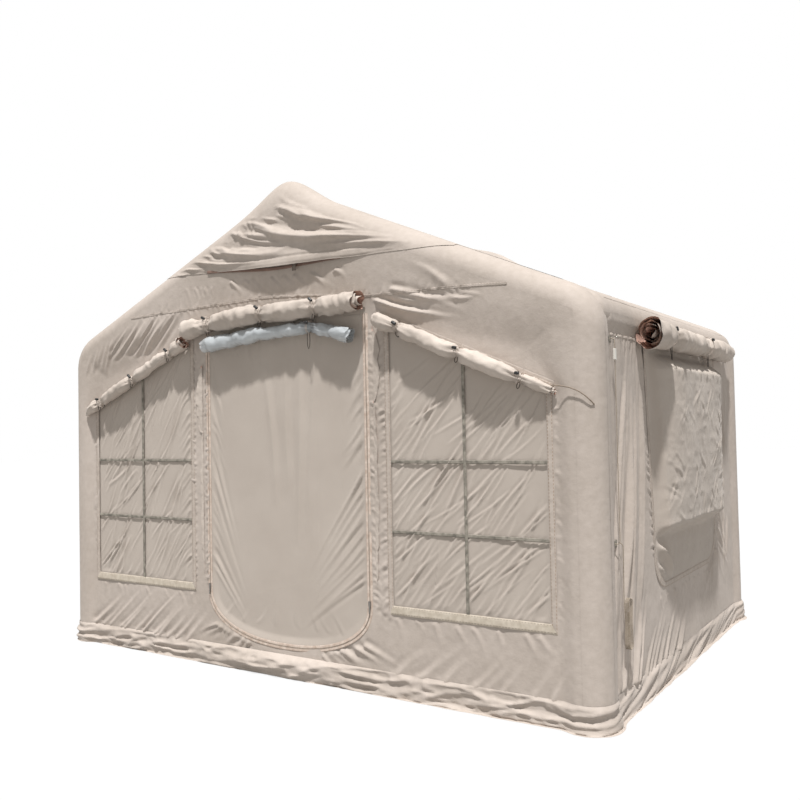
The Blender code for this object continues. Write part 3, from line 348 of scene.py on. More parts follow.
def oxford_canvas(name, pale, dark, crease=0.35, sheen=0.05):
    """Polyester oxford, woven and coated: a dry, slightly open weave that scatters light, with faint paler
    and darker drifts where it is sunned and dusty. The threads are 0.5 mm apart, and are drawn 3 mm apart."""
    finish, shader = new_finish(name, {"Roughness": 0.78, "Sheen Weight": sheen})
    place = node(finish, "TexCoord").outputs["Object"]
    drift = noise(finish, place, 1.6, 4.0, Roughness=0.6)
    mottle = noise(finish, place, 38.0, 3.0)
    tone = node(finish, "Mix", {0: 0.3, 2: drift, 3: mottle})
    spread = node(finish, "MapRange", {"Value": tone.outputs[0], "From Min": 0.36, "From Max": 0.64})
    shaded(finish, shader, spread.outputs[0], dark, pale)
    threads = embossed(finish, shader, noise(finish, place, 330.0, 1.0), 0.25, 0.0008)
    embossed(finish, shader, noise(finish, place, 26.0, 5.0, Roughness=0.62), crease, 0.006, Normal=threads)
    return finish


def patch(points, uv, slot=0, wrap=False):
    """A grid of points, with its cloth measured in metres by uv; wrap joins its last column to its first."""
    points, uv = np.asarray(points, float), np.asarray(uv, float)
    return {"points": points, "uv": uv, "slot": slot, "wrap": wrap, "keep": None}


def sewn(name, patches, finishes, body="tent", thickness=0.0, inner_slot=0):
    """One piece made of grid patches. A thickness lays a second face behind the first, at an inner slot."""
    verts, faces, uvs, slots = [], [], [], []
    start = 0
    for part in patches:
        rows, columns = part["points"].shape[:2]
        verts.append(part["points"].reshape(-1, 3))
        uvs.append(part["uv"].reshape(-1, 2))
        index = np.arange(rows * columns).reshape(rows, columns) + start
        if part["wrap"]:
            index = np.concatenate([index, index[:, :1]], axis=1)
        quads = np.stack([index[:-1, :-1], index[:-1, 1:], index[1:, 1:], index[1:, :-1]], axis=-1)
        if part["keep"] is not None:
            quads = quads[part["keep"]]
        quads = quads.reshape(-1, 4)
        faces.append(quads)
        slots.append(np.full(len(quads), part["slot"]))
        start += rows * columns
    verts, faces, uvs = np.concatenate(verts), np.concatenate(faces), np.concatenate(uvs)
    used = np.unique(faces)
    renumber = np.zeros(len(verts), int)
    renumber[used] = np.arange(len(used))
    mesh = bpy.data.meshes.new(name)
    mesh.from_pydata(verts[used].tolist(), [], renumber[faces].tolist())
    mesh.polygons.foreach_set("material_index", np.concatenate(slots).astype(np.int32))
    layer = mesh.uv_layers.new(name="cloth")
    layer.data.foreach_set("uv", uvs[faces.reshape(-1)].astype(np.float32).reshape(-1))
    mesh.shade_smooth()
    made = bpy.data.objects.new(name, mesh)
    bpy.context.scene.collection.objects.link(made)
    for finish in finishes:
        mesh.materials.append(finish)
    if thickness:
        shell = made.modifiers.new("thickness", "SOLIDIFY")
        shell.thickness = thickness
        shell.offset = -1
        shell.material_offset = inner_slot
        shell.material_offset_rim = inner_slot
    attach(made, body)
    return made


def rounded(corners, radius, step):
    """The path through the corners with an arc at each, in points about a step apart."""
    corners = [np.array(corner, float) for corner in corners]
    path = [corners[0]]
    for before, corner, after in zip(corners, corners[1:], corners[2:]):
        back = (before - corner) / np.linalg.norm(before - corner)
        ahead = (after - corner) / np.linalg.norm(after - corner)
        half = math.acos(float(np.clip(back @ ahead, -1, 1))) / 2
        bisector = (back + ahead) / np.linalg.norm(back + ahead)
        middle = corner + bisector * radius / math.sin(half)
        near = corner + back * radius / math.tan(half) - middle
        far = corner + ahead * radius / math.tan(half) - middle
        for share in np.linspace(0, 1, 9):
            mixed = near * (1 - share) + far * share
            path.append(middle + mixed / np.linalg.norm(mixed) * radius)
    path.append(corners[-1])
    places = np.array(path)
    runs = runs_along(places)
    even = np.linspace(0, runs[-1], max(2, round(runs[-1] / step)))
    return np.stack([np.interp(even, runs, places[:, i]) for i in range(places.shape[1])], axis=1), even


def swept(path, runs, reach, side=None, columns=64, girth=SLEEVE_RADIUS, slot=0):
    """A tube round a path, its radius given by reach. side is the direction across the plane that the path lies
    in, and without it each place takes one from the path's own direction."""
    along = ways_along(path)
    if side is None:
        side = np.cross(along, (0.31, 0.17, 0.93))
        side /= np.linalg.norm(side, axis=1)[:, None]
    side = np.broadcast_to(np.array(side, float), along.shape)
    up = np.cross(side, along)
    turns = np.linspace(0, 2 * math.pi, columns + 1)
    radius = reach(runs[:, None], turns[None, :])
    ring = np.cos(turns)[None, :, None] * side[:, None, :] + np.sin(turns)[None, :, None] * up[:, None, :]
    points = path[:, None, :] + ring * radius[:, :, None]
    return patch(points, stacked(turns[None, :] * girth, runs[:, None]), slot)


def arch_tube(y, step, reach, columns=64):
    """An arch's tube, post, rake, rake and post, and how long it is."""
    half = [(POST_X, y, EAVE_Z), (POST_X, y, FOOT_Z)]
    corners = [(-x, y, z) for x, y, z in half[::-1]] + [(0, y, RAKE_TOP)] + half
    path, runs = rounded(corners, ARCH_BEND, step)
    return swept(path, runs, reach, (0, -1, 0), columns), float(runs[-1])


def sleeve_reach(radius, seed, length=None):
    """The sleeve's radius: full, with long shallow swells and short puckers. A beam's sleeve, whose length is
    given, closes in where its ends run into the arches."""

    def end_taper(run):
        if length is None:
            return 0.0
        return SLEEVE_CLOSE * np.clip(1 - np.minimum(run, length - run) / SLEEVE_CLOSE_RUN, 0, 1) ** 2

    def reach(run, turn):
        around = np.cos(turn) * 2 + np.sin(turn) * 1.4
        swell = value_noise(run * 2.2 + around, around * 1.3 + 9, seed)
        pucker = value_noise(run * 16 + around * 0.7, around * 3 + 5, seed + 3)
        return radius - end_taper(run) + 0.0005 * swell + 0.0002 * pucker

    return reach


canvas = oxford_canvas("coated_oxford_polyester", "#C1B5AB", "#B0A499")
for end, y in (("front", -ARCH_Y), ("back", ARCH_Y)):
    cloth, length = arch_tube(y, 0.012, sleeve_reach(SLEEVE_RADIUS, 11))
    sleeve = sewn(f"arch_sleeve_{end}", [cloth], [canvas])
    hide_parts(f"sleeve_arch_{end}")
for side, x, z, radius in BEAMS:
    path, runs = rounded([(x, -ARCH_Y, z), (x, ARCH_Y, z)], ARCH_BEND, 0.015)
    cloth = swept(path, runs, sleeve_reach(radius, 21, runs[-1]), (1, 0, 0))
    sleeve = sewn(f"beam_sleeve_{side}", [cloth], [canvas])
    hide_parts(f"sleeve_beam_{side}")


# The walls: panels of the coated oxford, sewn to the sleeves all round and pulled tight by them, so they run
# into the tubes as one skin. Folds run off the corners and the seams where the sewing gathers the cloth.
WALL_OUT = 0.07
WALL_UNDER_SLEEVE = -0.0008
BRIDGE_START = 0.018
POST_BRIDGE = 0.092
RAKE_BRIDGE = 0.36
BEAM_BRIDGE = 0.07
CORNER_DROP = 0.022
RIDGE_LIFT = 0.030
RIDGE_START = -0.10 * ROOF_SLOPE
RIDGE_LAP = -0.068
RIDGE_TUCK = 1.3
RIDGE_TUCK_START = -0.040
RIDGE_LIFT_WIDTH = 0.10
EAVE_BEAM_V = 1.5257
EAVE_BEAM_OUT = -0.0087
ROOF_OVER_BEAM = 0.001
ROOF_RISE = 0.12
ROOF_SAG = 0.016
BRIDGE_WIDENS = (1.25, 0.35)
FOLDS_FREE = (0.025, 0.05)
NEAR_ARCH = (0.95, 0.09)
WALL_CORNER = (1.44, 0.09)
ROOF_CORNER = (1.40, 0.12)
ROOF_EAVE_LAP = 0.035
SIDE_WALL_TOP = 1.53
FRONT_STEP = 0.0062
BACK_STEP = 0.009
SIDE_STEP = 0.0065
ROOF_STEP = 0.012
HEM_DROP = 0.332
DOOR_HALF = 0.47
DOOR_TOP = RAKE_TOP - ROOF_SLOPE * DOOR_HALF - HEM_DROP
DOOR_STRAIGHT_END = 0.36
DOOR_BOTTOM = 0.135
DOOR_CORNER_POWER = 2.25
DOOR_CORNER_STEPS = 40
WINDOW_INNER = 0.59
WINDOW_OUTER = 1.29
WINDOW_SILL = 0.375
SIDE_WINDOW_MIDDLE = 0.0565
SIDE_WINDOW_TOP = 1.4516
SIDE_WINDOW_SILL = 0.42
SIDE_WINDOW_TOP_WIDTH = 1.16
SIDE_WINDOW_SILL_WIDTH = 0.98
SIDE_WINDOW_CORNER = 0.16
SIDE_WINDOW_STEPS = 260
VENT_SILL = RAKE_TOP - 0.257
VENT_ROOF_GAP = 0.035
FAR = 9.0


def in_wall(wall, u, v, out):
    """A wall's own places (across it, up it, out of it) as places in the tent."""
    if wall == "front":
        place = (u, -ARCH_Y - out, v)
    elif wall == "back":
        place = (-u, ARCH_Y + out, v)
    elif wall == "right":
        place = (POST_X + out, u, v)
    elif wall == "left":
        place = (-POST_X - out, -u, v)
    else:
        side = 1 if wall == "roof_right" else -1
        lean = ROOF_SLOPE * ROOF_COS
        place = (side * (v * ROOF_COS + out * lean), u, RAKE_TOP - v * lean + out * ROOF_COS)
    return stacked(*place)


def arch_distance(u, v):
    """How far a place on the front or back wall lies from the arch's middle line."""
    u = np.abs(u)
    lean = ROOF_SLOPE * ROOF_COS
    half = math.acos(-lean) / 2
    tangent = ARCH_BEND / math.tan(half)
    low = v < EAVE_Z - tangent
    past = (u - POST_X) * ROOF_COS - (v - EAVE_Z) * lean < -tangent
    post = np.where(low, np.abs(u - POST_X), FAR)
    rake = np.where(past, np.abs(v - rake_z(u)) * ROOF_COS, FAR)
    bisector = np.array([-ROOF_COS, lean - 1]) / math.hypot(ROOF_COS, lean - 1)
    middle = np.array([POST_X, EAVE_Z]) + bisector * ARCH_BEND / math.sin(half)
    bend = np.abs(np.hypot(u - middle[0], v - middle[1]) - ARCH_BEND)
    return np.minimum(np.minimum(post, rake), np.where(low | past, FAR, bend))


def tube_out(distance, radius, depth=0.0):
    return np.where(distance < radius, depth + np.sqrt(np.maximum(radius**2 - distance**2, 0)), -1.0)


def firm_out(wall, u, v):
    """How far the tight cloth stands out: the wall's plane, carried up onto the crowns of the tubes round it, so
    that no groove runs beside them. The second value is 1 where the cloth is free to fold."""
    if wall in ("front", "back"):
        high = ramp(v, *BRIDGE_WIDENS)
        tubes = [(arch_distance(u, v), 0.0, POST_BRIDGE + (RAKE_BRIDGE - POST_BRIDGE) * high)]
    elif wall in ("left", "right"):
        tubes = [(np.abs(np.abs(u) - ARCH_Y), 0.0, POST_BRIDGE), (np.abs(v - BEAM_Z), BEAM_X - POST_X, BEAM_BRIDGE)]
    else:
        to_beam = np.clip(EAVE_BEAM_V - v, 0, None)
        tubes = [(np.abs(np.abs(u) - ARCH_Y), 0.0, RAKE_BRIDGE), (to_beam, EAVE_BEAM_OUT, RAKE_BRIDGE)]
    out, slack = WALL_OUT, 1.0
    for distance, depth, reach in tubes:
        crown = depth + SLEEVE_RADIUS - WALL_UNDER_SLEEVE
        fall = np.clip((distance - BRIDGE_START) / (reach - BRIDGE_START), 0, 1)
        bridge = WALL_OUT + (crown - WALL_OUT) * (1 - fall * fall * (3 - 2 * fall))
        out = np.maximum(out, np.maximum(bridge, tube_out(distance, SLEEVE_RADIUS, depth) - WALL_UNDER_SLEEVE))
        slack = slack * ramp(distance, *FOLDS_FREE)
    near_arch = ramp(np.abs(u), *NEAR_ARCH)
    if wall in ("left", "right"):
        out = out - CORNER_DROP * ramp(v, *WALL_CORNER) ** 2 * near_arch
    elif wall.startswith("roof"):
        out = np.minimum(out, EAVE_BEAM_OUT + SLEEVE_RADIUS + ROOF_OVER_BEAM + ROOF_RISE * to_beam)
        out = out - RIDGE_TUCK * np.clip(RIDGE_TUCK_START - v, 0, None)
        past = np.clip(v - EAVE_BEAM_V, 0, SLEEVE_RADIUS)
        out = out - SLEEVE_RADIUS + np.sqrt(SLEEVE_RADIUS**2 - past**2)
        out = out - CORNER_DROP * ramp(v, *ROOF_CORNER) ** 2 * near_arch
        out = out + RIDGE_LIFT * hump(v - RIDGE_START, RIDGE_LIFT_WIDTH)
    return out, slack


def folded(u, v, folds):
    """The height of all folds at a place. A fold is a crest with a hollow beside it, on a bowed line that
    either dies out at both ends or springs from its start."""
    u, v = np.broadcast_arrays(u, v)
    total = np.zeros(u.shape)
    for u0, v0, u1, v1, width, height, bow, springs in folds:
        length = math.hypot(u1 - u0, v1 - v0)
        margin = 4 * width + abs(bow)
        near = (u > min(u0, u1) - margin) & (u < max(u0, u1) + margin)
        near &= (v > min(v0, v1) - margin) & (v < max(v0, v1) + margin)
        if length < 0.001 or not near.any():
            continue
        du, dv = (u1 - u0) / length, (v1 - v0) / length
        along = ((u[near] - u0) * du + (v[near] - v0) * dv) / length
        inside = np.clip(along, 0, 1)
        aside = (v[near] - v0) * du - (u[near] - u0) * dv - 4 * bow * inside * (1 - inside)
        if springs:
            taper = (1 - inside) ** 1.2 * np.clip(inside / 0.05, 0, 1)
        else:
            taper = np.sin(math.pi * inside) ** 0.8
        crest = np.exp(-np.abs(aside / width) ** 1.5)
        hollow = hump(aside - 1.8 * width, 1.2 * width)
        total[near] += height * taper * (crest - 0.55 * hollow)
    return total


def fan(seed, start, end, count, width, height, springs=True, bow=0.012):
    """Folds side by side, from one line of places to another, none of them quite alike."""
    draw = np.random.default_rng(seed)
    folds = []
    for step in range(count):
        share = (step + 0.5 + draw.uniform(-0.35, 0.35)) / count
        first = np.array(start[0]) * (1 - share) + np.array(start[1]) * share
        share = share + draw.uniform(-0.2, 0.2) / count
        last = np.array(end[0]) * (1 - share) + np.array(end[1]) * share
        last = first + (last - first) * draw.uniform(0.55, 1.0)
        size = (width * draw.uniform(0.7, 1.3), height * draw.uniform(0.5, 1.2), bow * draw.uniform(-1, 1))
        folds.append((*first, *last, *size, springs))
    return folds


def puckers(seed, path, spacing, reach, slant, height, width=0.007):
    """Short folds that spring from a seam on one side of it, where the sewing gathers the cloth."""
    draw = np.random.default_rng(seed)
    folds = []
    for (u0, v0), (u1, v1) in zip(path, path[1:]):
        length = math.hypot(u1 - u0, v1 - v0)
        for step in range(max(1, round(length / spacing))):
            share = (step + draw.uniform(0.1, 0.9)) / max(1, round(length / spacing))
            turn = math.atan2(v1 - v0, u1 - u0) + slant * draw.uniform(0.75, 1.25)
            run = reach * draw.uniform(0.35, 1.0)
            first = (u0 + (u1 - u0) * share, v0 + (v1 - v0) * share)
            last = (first[0] + run * math.cos(turn), first[1] + run * math.sin(turn))
            size = (width * draw.uniform(0.7, 1.3), height * draw.uniform(0.4, 1.2), run * draw.uniform(-0.12, 0.12))
            folds.append((*first, *last, *size, True))
    return folds


def scattered(seed, box, count, slant, run, width, height):
    """Loose wrinkles of much the same slant, strewn over a box."""
    draw = np.random.default_rng(seed)
    folds = []
    for step in range(count):
        u, v = draw.uniform(box[0], box[2]), draw.uniform(box[1], box[3])
        turn = slant + draw.normal(0, 0.16)
        reach = run * draw.uniform(0.5, 1.2) / 2
        du, dv = reach * math.cos(turn), reach * math.sin(turn)
        size = (width * draw.uniform(0.6, 1.4), height * draw.uniform(0.4, 1.2), reach * draw.uniform(-0.09, 0.09))
        folds.append((u - du, v - dv, u + du, v + dv, *size, False))
    return folds


def window_top(across):
    return rake_z(across) - HEM_DROP


def door_outline(margin, top=DOOR_TOP):
    half = DOOR_HALF + margin
    depth = DOOR_STRAIGHT_END - DOOR_BOTTOM + margin
    points = [(-half, top), (half, top)]
    for step in range(DOOR_CORNER_STEPS + 1):
        turn = math.pi * step / DOOR_CORNER_STEPS
        across = math.copysign(abs(math.cos(turn)) ** (2 / DOOR_CORNER_POWER), math.cos(turn))
        points.append((half * across, DOOR_STRAIGHT_END - depth * abs(math.sin(turn)) ** (2 / DOOR_CORNER_POWER)))
    return points


def window_outline(side, margin=0.0, sill_margin=0.0):
    inner, outer = WINDOW_INNER - margin, WINDOW_OUTER + margin
    corners = [(inner, WINDOW_SILL - sill_margin), (outer, WINDOW_SILL - sill_margin)]
    corners += [(outer, window_top(outer) + margin), (inner, window_top(inner) + margin)]
    return [(side * across, float(up)) for across, up in corners]


def side_window_outline(margin=0.0):
    top, sill = SIDE_WINDOW_TOP + margin, SIDE_WINDOW_SILL - margin
    half_top, half_sill = SIDE_WINDOW_TOP_WIDTH / 2 + margin, SIDE_WINDOW_SILL_WIDTH / 2 + margin
    corners = [(-half_top, top), (-half_sill, sill), (half_sill, sill), (half_top, top)]
    path, _ = rounded(corners, SIDE_WINDOW_CORNER, 0.01)
    even = np.linspace(0, len(path) - 1, SIDE_WINDOW_STEPS)
    across, up = (np.interp(even, np.arange(len(path)), path[:, i]) for i in (0, 1))
    return list(zip((SIDE_WINDOW_MIDDLE + across).tolist(), up.tolist()))


def vent_outline(margin=0.0):
    roof_line = RAKE_TOP - WALL_OUT / ROOF_COS - VENT_ROOF_GAP + margin
    half = (roof_line - VENT_SILL + margin) / ROOF_SLOPE
    return [(-half, VENT_SILL - margin), (half, VENT_SILL - margin), (0, roof_line)]


def inside_of(outline, u, v):
    """Which places lie inside a closed outline."""
    odd = np.zeros(np.broadcast(u, v).shape, bool)
    for (u0, v0), (u1, v1) in zip(outline, outline[1:] + outline[:1]):
        if v0 == v1:
            continue
        crosses = (v0 > v) != (v1 > v)
        odd ^= crosses & (u < (u1 - u0) * (v - v0) / (v1 - v0) + u0)
    return odd


def onto_edge(outline, u, v):
    """The nearest places on an outline, and how far they are."""
    best = np.full(u.shape, FAR)
    edge_u, edge_v = u.copy(), v.copy()
    for (u0, v0), (u1, v1) in zip(outline, outline[1:] + outline[:1]):
        span = (u1 - u0) ** 2 + (v1 - v0) ** 2
        if span == 0:
            continue
        share = np.clip(((u - u0) * (u1 - u0) + (v - v0) * (v1 - v0)) / span, 0, 1)
        near_u, near_v = u0 + share * (u1 - u0), v0 + share * (v1 - v0)
        gap = np.hypot(u - near_u, v - near_v)
        closer = gap < best
        best = np.where(closer, gap, best)
        edge_u, edge_v = np.where(closer, near_u, edge_u), np.where(closer, near_v, edge_v)
    return edge_u, edge_v, best


def cut_cloth(wall, box, step, bounds_outline, holes, stand_out):
    """A patch of cloth on a wall, cut to an outline and round its holes, with its edges on the cut lines."""
    u, v = np.meshgrid(
        np.linspace(box[0], box[2], round((box[2] - box[0]) / step) + 1),
        np.linspace(box[1], box[3], round((box[3] - box[1]) / step) + 1),
    )
    keep = np.ones((u.shape[0] - 1, u.shape[1] - 1), bool)
    for outline, hole in [(bounds_outline, False)] + [(hole, True) for hole in holes]:
        if outline is None:
            continue
        within = inside_of(outline, u, v)
        corner_counts = within[:-1, :-1].astype(int) + within[:-1, 1:] + within[1:, 1:] + within[1:, :-1]
        gone = corner_counts > 2 if hole else corner_counts < 2
        keep &= ~gone
        edge_u, edge_v, gap = onto_edge(outline, u, v)
        lost = np.zeros(u.shape, bool)
        kept = np.zeros(u.shape, bool)
        for cells, marks in ((gone, lost), (~gone, kept)):
            for rows in (slice(None, -1), slice(1, None)):
                for columns in (slice(None, -1), slice(1, None)):
                    marks[rows, columns] |= cells
        rim = lost & kept & (gap < 1.5 * step)
        u, v = np.where(rim, edge_u, u), np.where(rim, edge_v, v)
    made = patch(in_wall(wall, u, v, stand_out(u, v)), stacked(u, v))
    made["keep"] = keep
    return made


WINDOW_FOLDS = []
for side, seed in ((-1, 100), (1, 140)):
    inner, outer = side * (WINDOW_INNER - 0.03), side * (WINDOW_OUTER + 0.03)
    door_edge = side * (DOOR_HALF + 0.02)
    slant, sill_slant = (0.8, -1.1) if side > 0 else (2.3, 1.9)
    WINDOW_FOLDS += puckers(seed, [(inner, 1.50), (inner, 0.38)], 0.028, 0.07, -slant, 0.0060)
    WINDOW_FOLDS += puckers(seed + 1, [(door_edge, 1.54), (door_edge, 0.36)], 0.028, 0.075, slant, 0.0060)
    WINDOW_FOLDS += puckers(seed + 2, [(outer, 1.18), (outer, 0.38)], 0.05, 0.05, slant, 0.0035)
    WINDOW_FOLDS += puckers(seed + 3, [(inner, 0.325), (outer, 0.325)], 0.09, 0.13, sill_slant, 0.0050, 0.009)
FRONT_FOLDS = WINDOW_FOLDS + (
    fan(1, ((-1.06, 1.68), (-0.60, 1.72)), ((-1.30, 1.46), (-0.84, 1.50)), 12, 0.010, 0.012, False)
    + fan(2, ((-1.34, 1.56), (-1.12, 1.66)), ((-1.40, 1.36), (-1.22, 1.42)), 7, 0.009, 0.008, False)
    + [
        (0.66, 1.845, 0.90, 1.665, 0.017, 0.022, 0.012, False), (0.72, 1.830, 0.86, 1.735, 0.010, 0.011, 0.010, False),
        (0.90, 1.800, 1.01, 1.665, 0.008, 0.010, 0.004, False), (0.86, 1.770, 0.95, 1.675, 0.007, 0.008, 0.004, False),
        (1.00, 1.715, 1.045, 1.665, 0.006, 0.007, 0.002, False), (0.60, 1.690, 0.99, 1.545, 0.010, 0.010, 0.016, True),
    ]
    + fan(5, ((0.50, 1.66), (0.66, 1.60)), ((0.82, 1.56), (1.00, 1.53)), 8, 0.008, 0.010, True)
    + fan(51, ((0.60, 1.655), (0.95, 1.635)), ((0.76, 1.615), (1.12, 1.610)), 7, 0.007, 0.006, False)
    + fan(6, ((-0.34, 1.82), (0.34, 1.80)), ((-0.24, 1.72), (0.46, 1.71)), 9, 0.008, 0.009, True)
    + fan(7, ((-0.62, 1.82), (-0.40, 1.80)), ((-0.60, 1.73), (-0.38, 1.72)), 6, 0.006, 0.005, True)
    + fan(8, ((-1.36, 0.10), (-0.62, 0.08)), ((-1.02, 0.36), (-0.36, 0.33)), 12, 0.010, 0.010)
    + fan(9, ((0.52, 0.08), (1.32, 0.08)), ((0.78, 0.26), (1.46, 0.32)), 9, 0.012, 0.005)
    + fan(10, ((-0.44, 0.20), (-0.20, 0.125)), ((-0.62, 0.12), (-0.30, 0.04)), 8, 0.010, 0.010)
    + fan(12, ((0.20, 0.125), (0.45, 0.20)), ((0.30, 0.04), (0.66, 0.12)), 8, 0.010, 0.010)
    + puckers(13, [(-1.00, 1.700), (-0.1, 1.722), (0.5, 1.668), (1.0, 1.660)], 0.040, 0.06, -1.2, 0.0045)
    + puckers(14, [(-1.00, 1.704), (-0.1, 1.726), (0.5, 1.672), (1.0, 1.664)], 0.040, 0.07, 1.3, 0.0045)
    + scattered(15, (-1.33, 0.4, -1.30, 1.2), 8, 1.4, 0.16, 0.008, 0.004)
    + fan(16, ((0.50, 0.36), (0.58, 0.30)), ((0.50, 0.60), (0.60, 0.62)), 4, 0.009, 0.006)
)
SIDE_FOLDS = (
    fan(21, ((-0.97, 0.34), (-0.70, 0.20)), ((-0.76, 1.42), (-0.55, 1.40)), 13, 0.013, 0.017, False, 0.03)
    + fan(22, ((-0.93, 0.10), (-0.72, 0.08)), ((-0.86, 0.74), (-0.46, 0.52)), 11, 0.011, 0.014, True, 0.02)
    + fan(23, ((-0.66, 0.08), (-0.10, 0.08)), ((-0.34, 0.40), (0.16, 0.34)), 9, 0.012, 0.009, True, 0.02)
    + fan(24, ((0.46, 0.40), (0.60, 0.50)), ((0.16, 0.12), (0.92, 0.30)), 10, 0.013, 0.012, True, 0.02)
    + fan(25, ((0.60, 0.46), (0.66, 0.95)), ((0.90, 0.10), (0.96, 0.40)), 10, 0.012, 0.011, True, 0.03)
    + fan(26, ((-0.94, 1.455), (-0.56, 1.455)), ((-0.92, 1.28), (-0.60, 1.22)), 11, 0.009, 0.008)
    + puckers(27, [(-0.56, 1.35), (-0.46, 0.55)], 0.035, 0.07, -2.2, 0.006)
    + puckers(28, [(0.66, 1.35), (0.59, 0.55)], 0.04, 0.07, 2.3, 0.006)
    + puckers(29, [(-0.40, 0.37), (0.50, 0.37)], 0.075, 0.12, -1.1, 0.008, 0.010)
    + scattered(30, (0.72, 0.4, 0.92, 1.3), 9, 1.5, 0.3, 0.012, 0.007)
)
BACK_FOLDS = WINDOW_FOLDS + (
    fan(31, ((-1.30, 0.10), (1.30, 0.10)), ((-1.20, 0.34), (1.24, 0.34)), 24, 0.013, 0.006)
    + fan(32, ((-0.90, 1.80), (0.90, 1.80)), ((-0.60, 1.60), (0.62, 1.60)), 14, 0.013, 0.007, False)
    + scattered(33, (-0.40, 0.4, 0.40, 1.6), 16, 1.2, 0.5, 0.014, 0.006)
    + puckers(34, [(-1.05, 1.715), (1.05, 1.715)], 0.06, 0.06, -1.2, 0.003)
)
ROOF_FOLDS = (
    fan(41, ((-0.94, 0.10), (-0.94, 1.35)), ((-0.55, 0.16), (-0.50, 1.25)), 16, 0.014, 0.006)
    + fan(42, ((0.94, 0.10), (0.94, 1.35)), ((0.55, 0.16), (0.50, 1.25)), 16, 0.014, 0.006)
    + fan(43, ((-0.8, 1.40), (0.8, 1.40)), ((-0.75, 1.15), (0.78, 1.15)), 20, 0.012, 0.005)
)
WALL_FOLDS = {
    "front": FRONT_FOLDS, "back": BACK_FOLDS, "right": SIDE_FOLDS, "left": SIDE_FOLDS,
    "roof_right": ROOF_FOLDS, "roof_left": ROOF_FOLDS,
}


def cloth_out(wall):
    """How far a wall's cloth stands out with its folds and the faint unevenness between them."""

    def stand_out(u, v):
        out, slack = firm_out(wall, u, v)
        drift = 0.0020 * value_noise(u * 5.5, v * 5.5, 51) + 0.0008 * value_noise(u * 17, v * 17, 52)
        if wall.startswith("roof"):
            drift = drift * ramp(v, RIDGE_START, 0.1)
            drift = drift - ROOF_SAG * np.clip(1 - (u / 0.97) ** 2, 0, 1) * np.clip(np.sin(math.pi * v / 1.5), 0, 1)
        return out + slack * (drift + folded(u, v, WALL_FOLDS[wall]))

    return stand_out


gable_box = (-POST_X, FOOT_Z, POST_X, RAKE_TOP)
gable_edge = [(-POST_X, FOOT_Z), (POST_X, FOOT_Z), (POST_X, EAVE_Z), (0, RAKE_TOP), (-POST_X, EAVE_Z)]
front_holes = [door_outline(0), window_outline(-1), window_outline(1), vent_outline()]
gables = (("front", FRONT_STEP, front_holes, 2.45), ("back", BACK_STEP, front_holes[1:], 3.75))
for wall, step, holes, area in gables:
    panel = sewn(f"{wall}_wall_cloth", [cut_cloth(wall, gable_box, step, gable_edge, holes, cloth_out(wall))], [canvas])
    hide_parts(f"{wall}_wall")
side_box, side_holes = (-ARCH_Y, FOOT_Z, ARCH_Y, SIDE_WALL_TOP), [side_window_outline()]
for wall in ("right", "left"):
    cloth = cut_cloth(wall, side_box, SIDE_STEP, None, side_holes, cloth_out(wall))
    panel = sewn(f"{wall}_wall_cloth", [cloth], [canvas])
    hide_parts(f"{wall}_wall")
roof_box = (-ARCH_Y, RIDGE_LAP, ARCH_Y, EAVE_BEAM_V + ROOF_EAVE_LAP)
for wall in ("roof_right", "roof_left"):
    panel = sewn(f"{wall}_cloth", [cut_cloth(wall, roof_box, ROOF_STEP, None, [], cloth_out(wall))], [canvas])
    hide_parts(wall)


# The nets: knitted polyester mosquito mesh, a soft open knit. The windows' nets are sewn in behind their tapes,
# a little too large, so they run in slanting folds. The side nets are slacker and gather in a pocket at the sill.
NET_STEP = 0.0055
DOOR_NET_STEP = 0.007
NET_DEPTH = 0.004
NET_EDGE = 0.006
NET_SAG = 0.003
PANES = (
    (0.64, 1.02, 0.92, 1.36), (0.98, 1.00, 1.25, 1.22), (0.63, 0.71, 0.93, 0.95),
    (0.97, 0.71, 1.26, 0.95), (0.63, 0.42, 0.93, 0.65), (0.97, 0.42, 1.26, 0.65),
)
SIDE_WINDOW_BELLY = 0.100
POCKET_FOOT = 0.600
POCKET_TOP = SIDE_WINDOW_TOP - 0.035
POCKET_HALF_WIDTH = 0.56
POCKET_TOP_CURVE = 0.085
POCKET_FOOT_CURVE = 0.075
POCKET_SQUARENESS = 5.5
VENT_MESH_DEPTH = 0.0012
DOOR_NET_DEPTH = 0.0008


def knitted_net(name, pale, dark, cover):
    """A knit of fine polyester threads with holes between them, through which the dim inside shows. The real
    mesh is 1.2 mm, and is drawn at 2.5 mm, below what the camera tells apart, so it reads as a veil."""
    finish, shader = new_finish(name, {"Roughness": 0.85, "Sheen Weight": 0.08})
    cloth = node(finish, "TexCoord").outputs["UV"]
    shaded(finish, shader, noise(finish, cloth, 5.0, 4.0), dark, pale)
    cells = node(
        finish, "TexVoronoi", {"Vector": cloth, "Scale": 400.0, "Randomness": 0.3},
        feature="DISTANCE_TO_EDGE", voronoi_dimensions="2D",
    )
    thread = node(finish, "Math", {0: cells.outputs["Distance"], 1: cover}, operation="LESS_THAN")
    finish.node_tree.links.new(thread.outputs[0], shader.inputs["Alpha"])
    return finish


def bounded(outline, margin=0.0):
    """The box round an outline."""
    across, up = zip(*outline)
    return (min(across) - margin, min(up) - margin, max(across) + margin, max(up) + margin)


def net_out(outline, folds):
    """How far a front net stands out: flat where it is sewn in, and free to sag and fold inside that."""

    def stand_out(u, v):
        free = ramp(onto_edge(outline, u, v)[2], 0, 0.02)
        return WALL_OUT - NET_DEPTH + free * (NET_SAG * value_noise(u * 4, v * 3, 66) + folded(u, v, folds))

    return stand_out


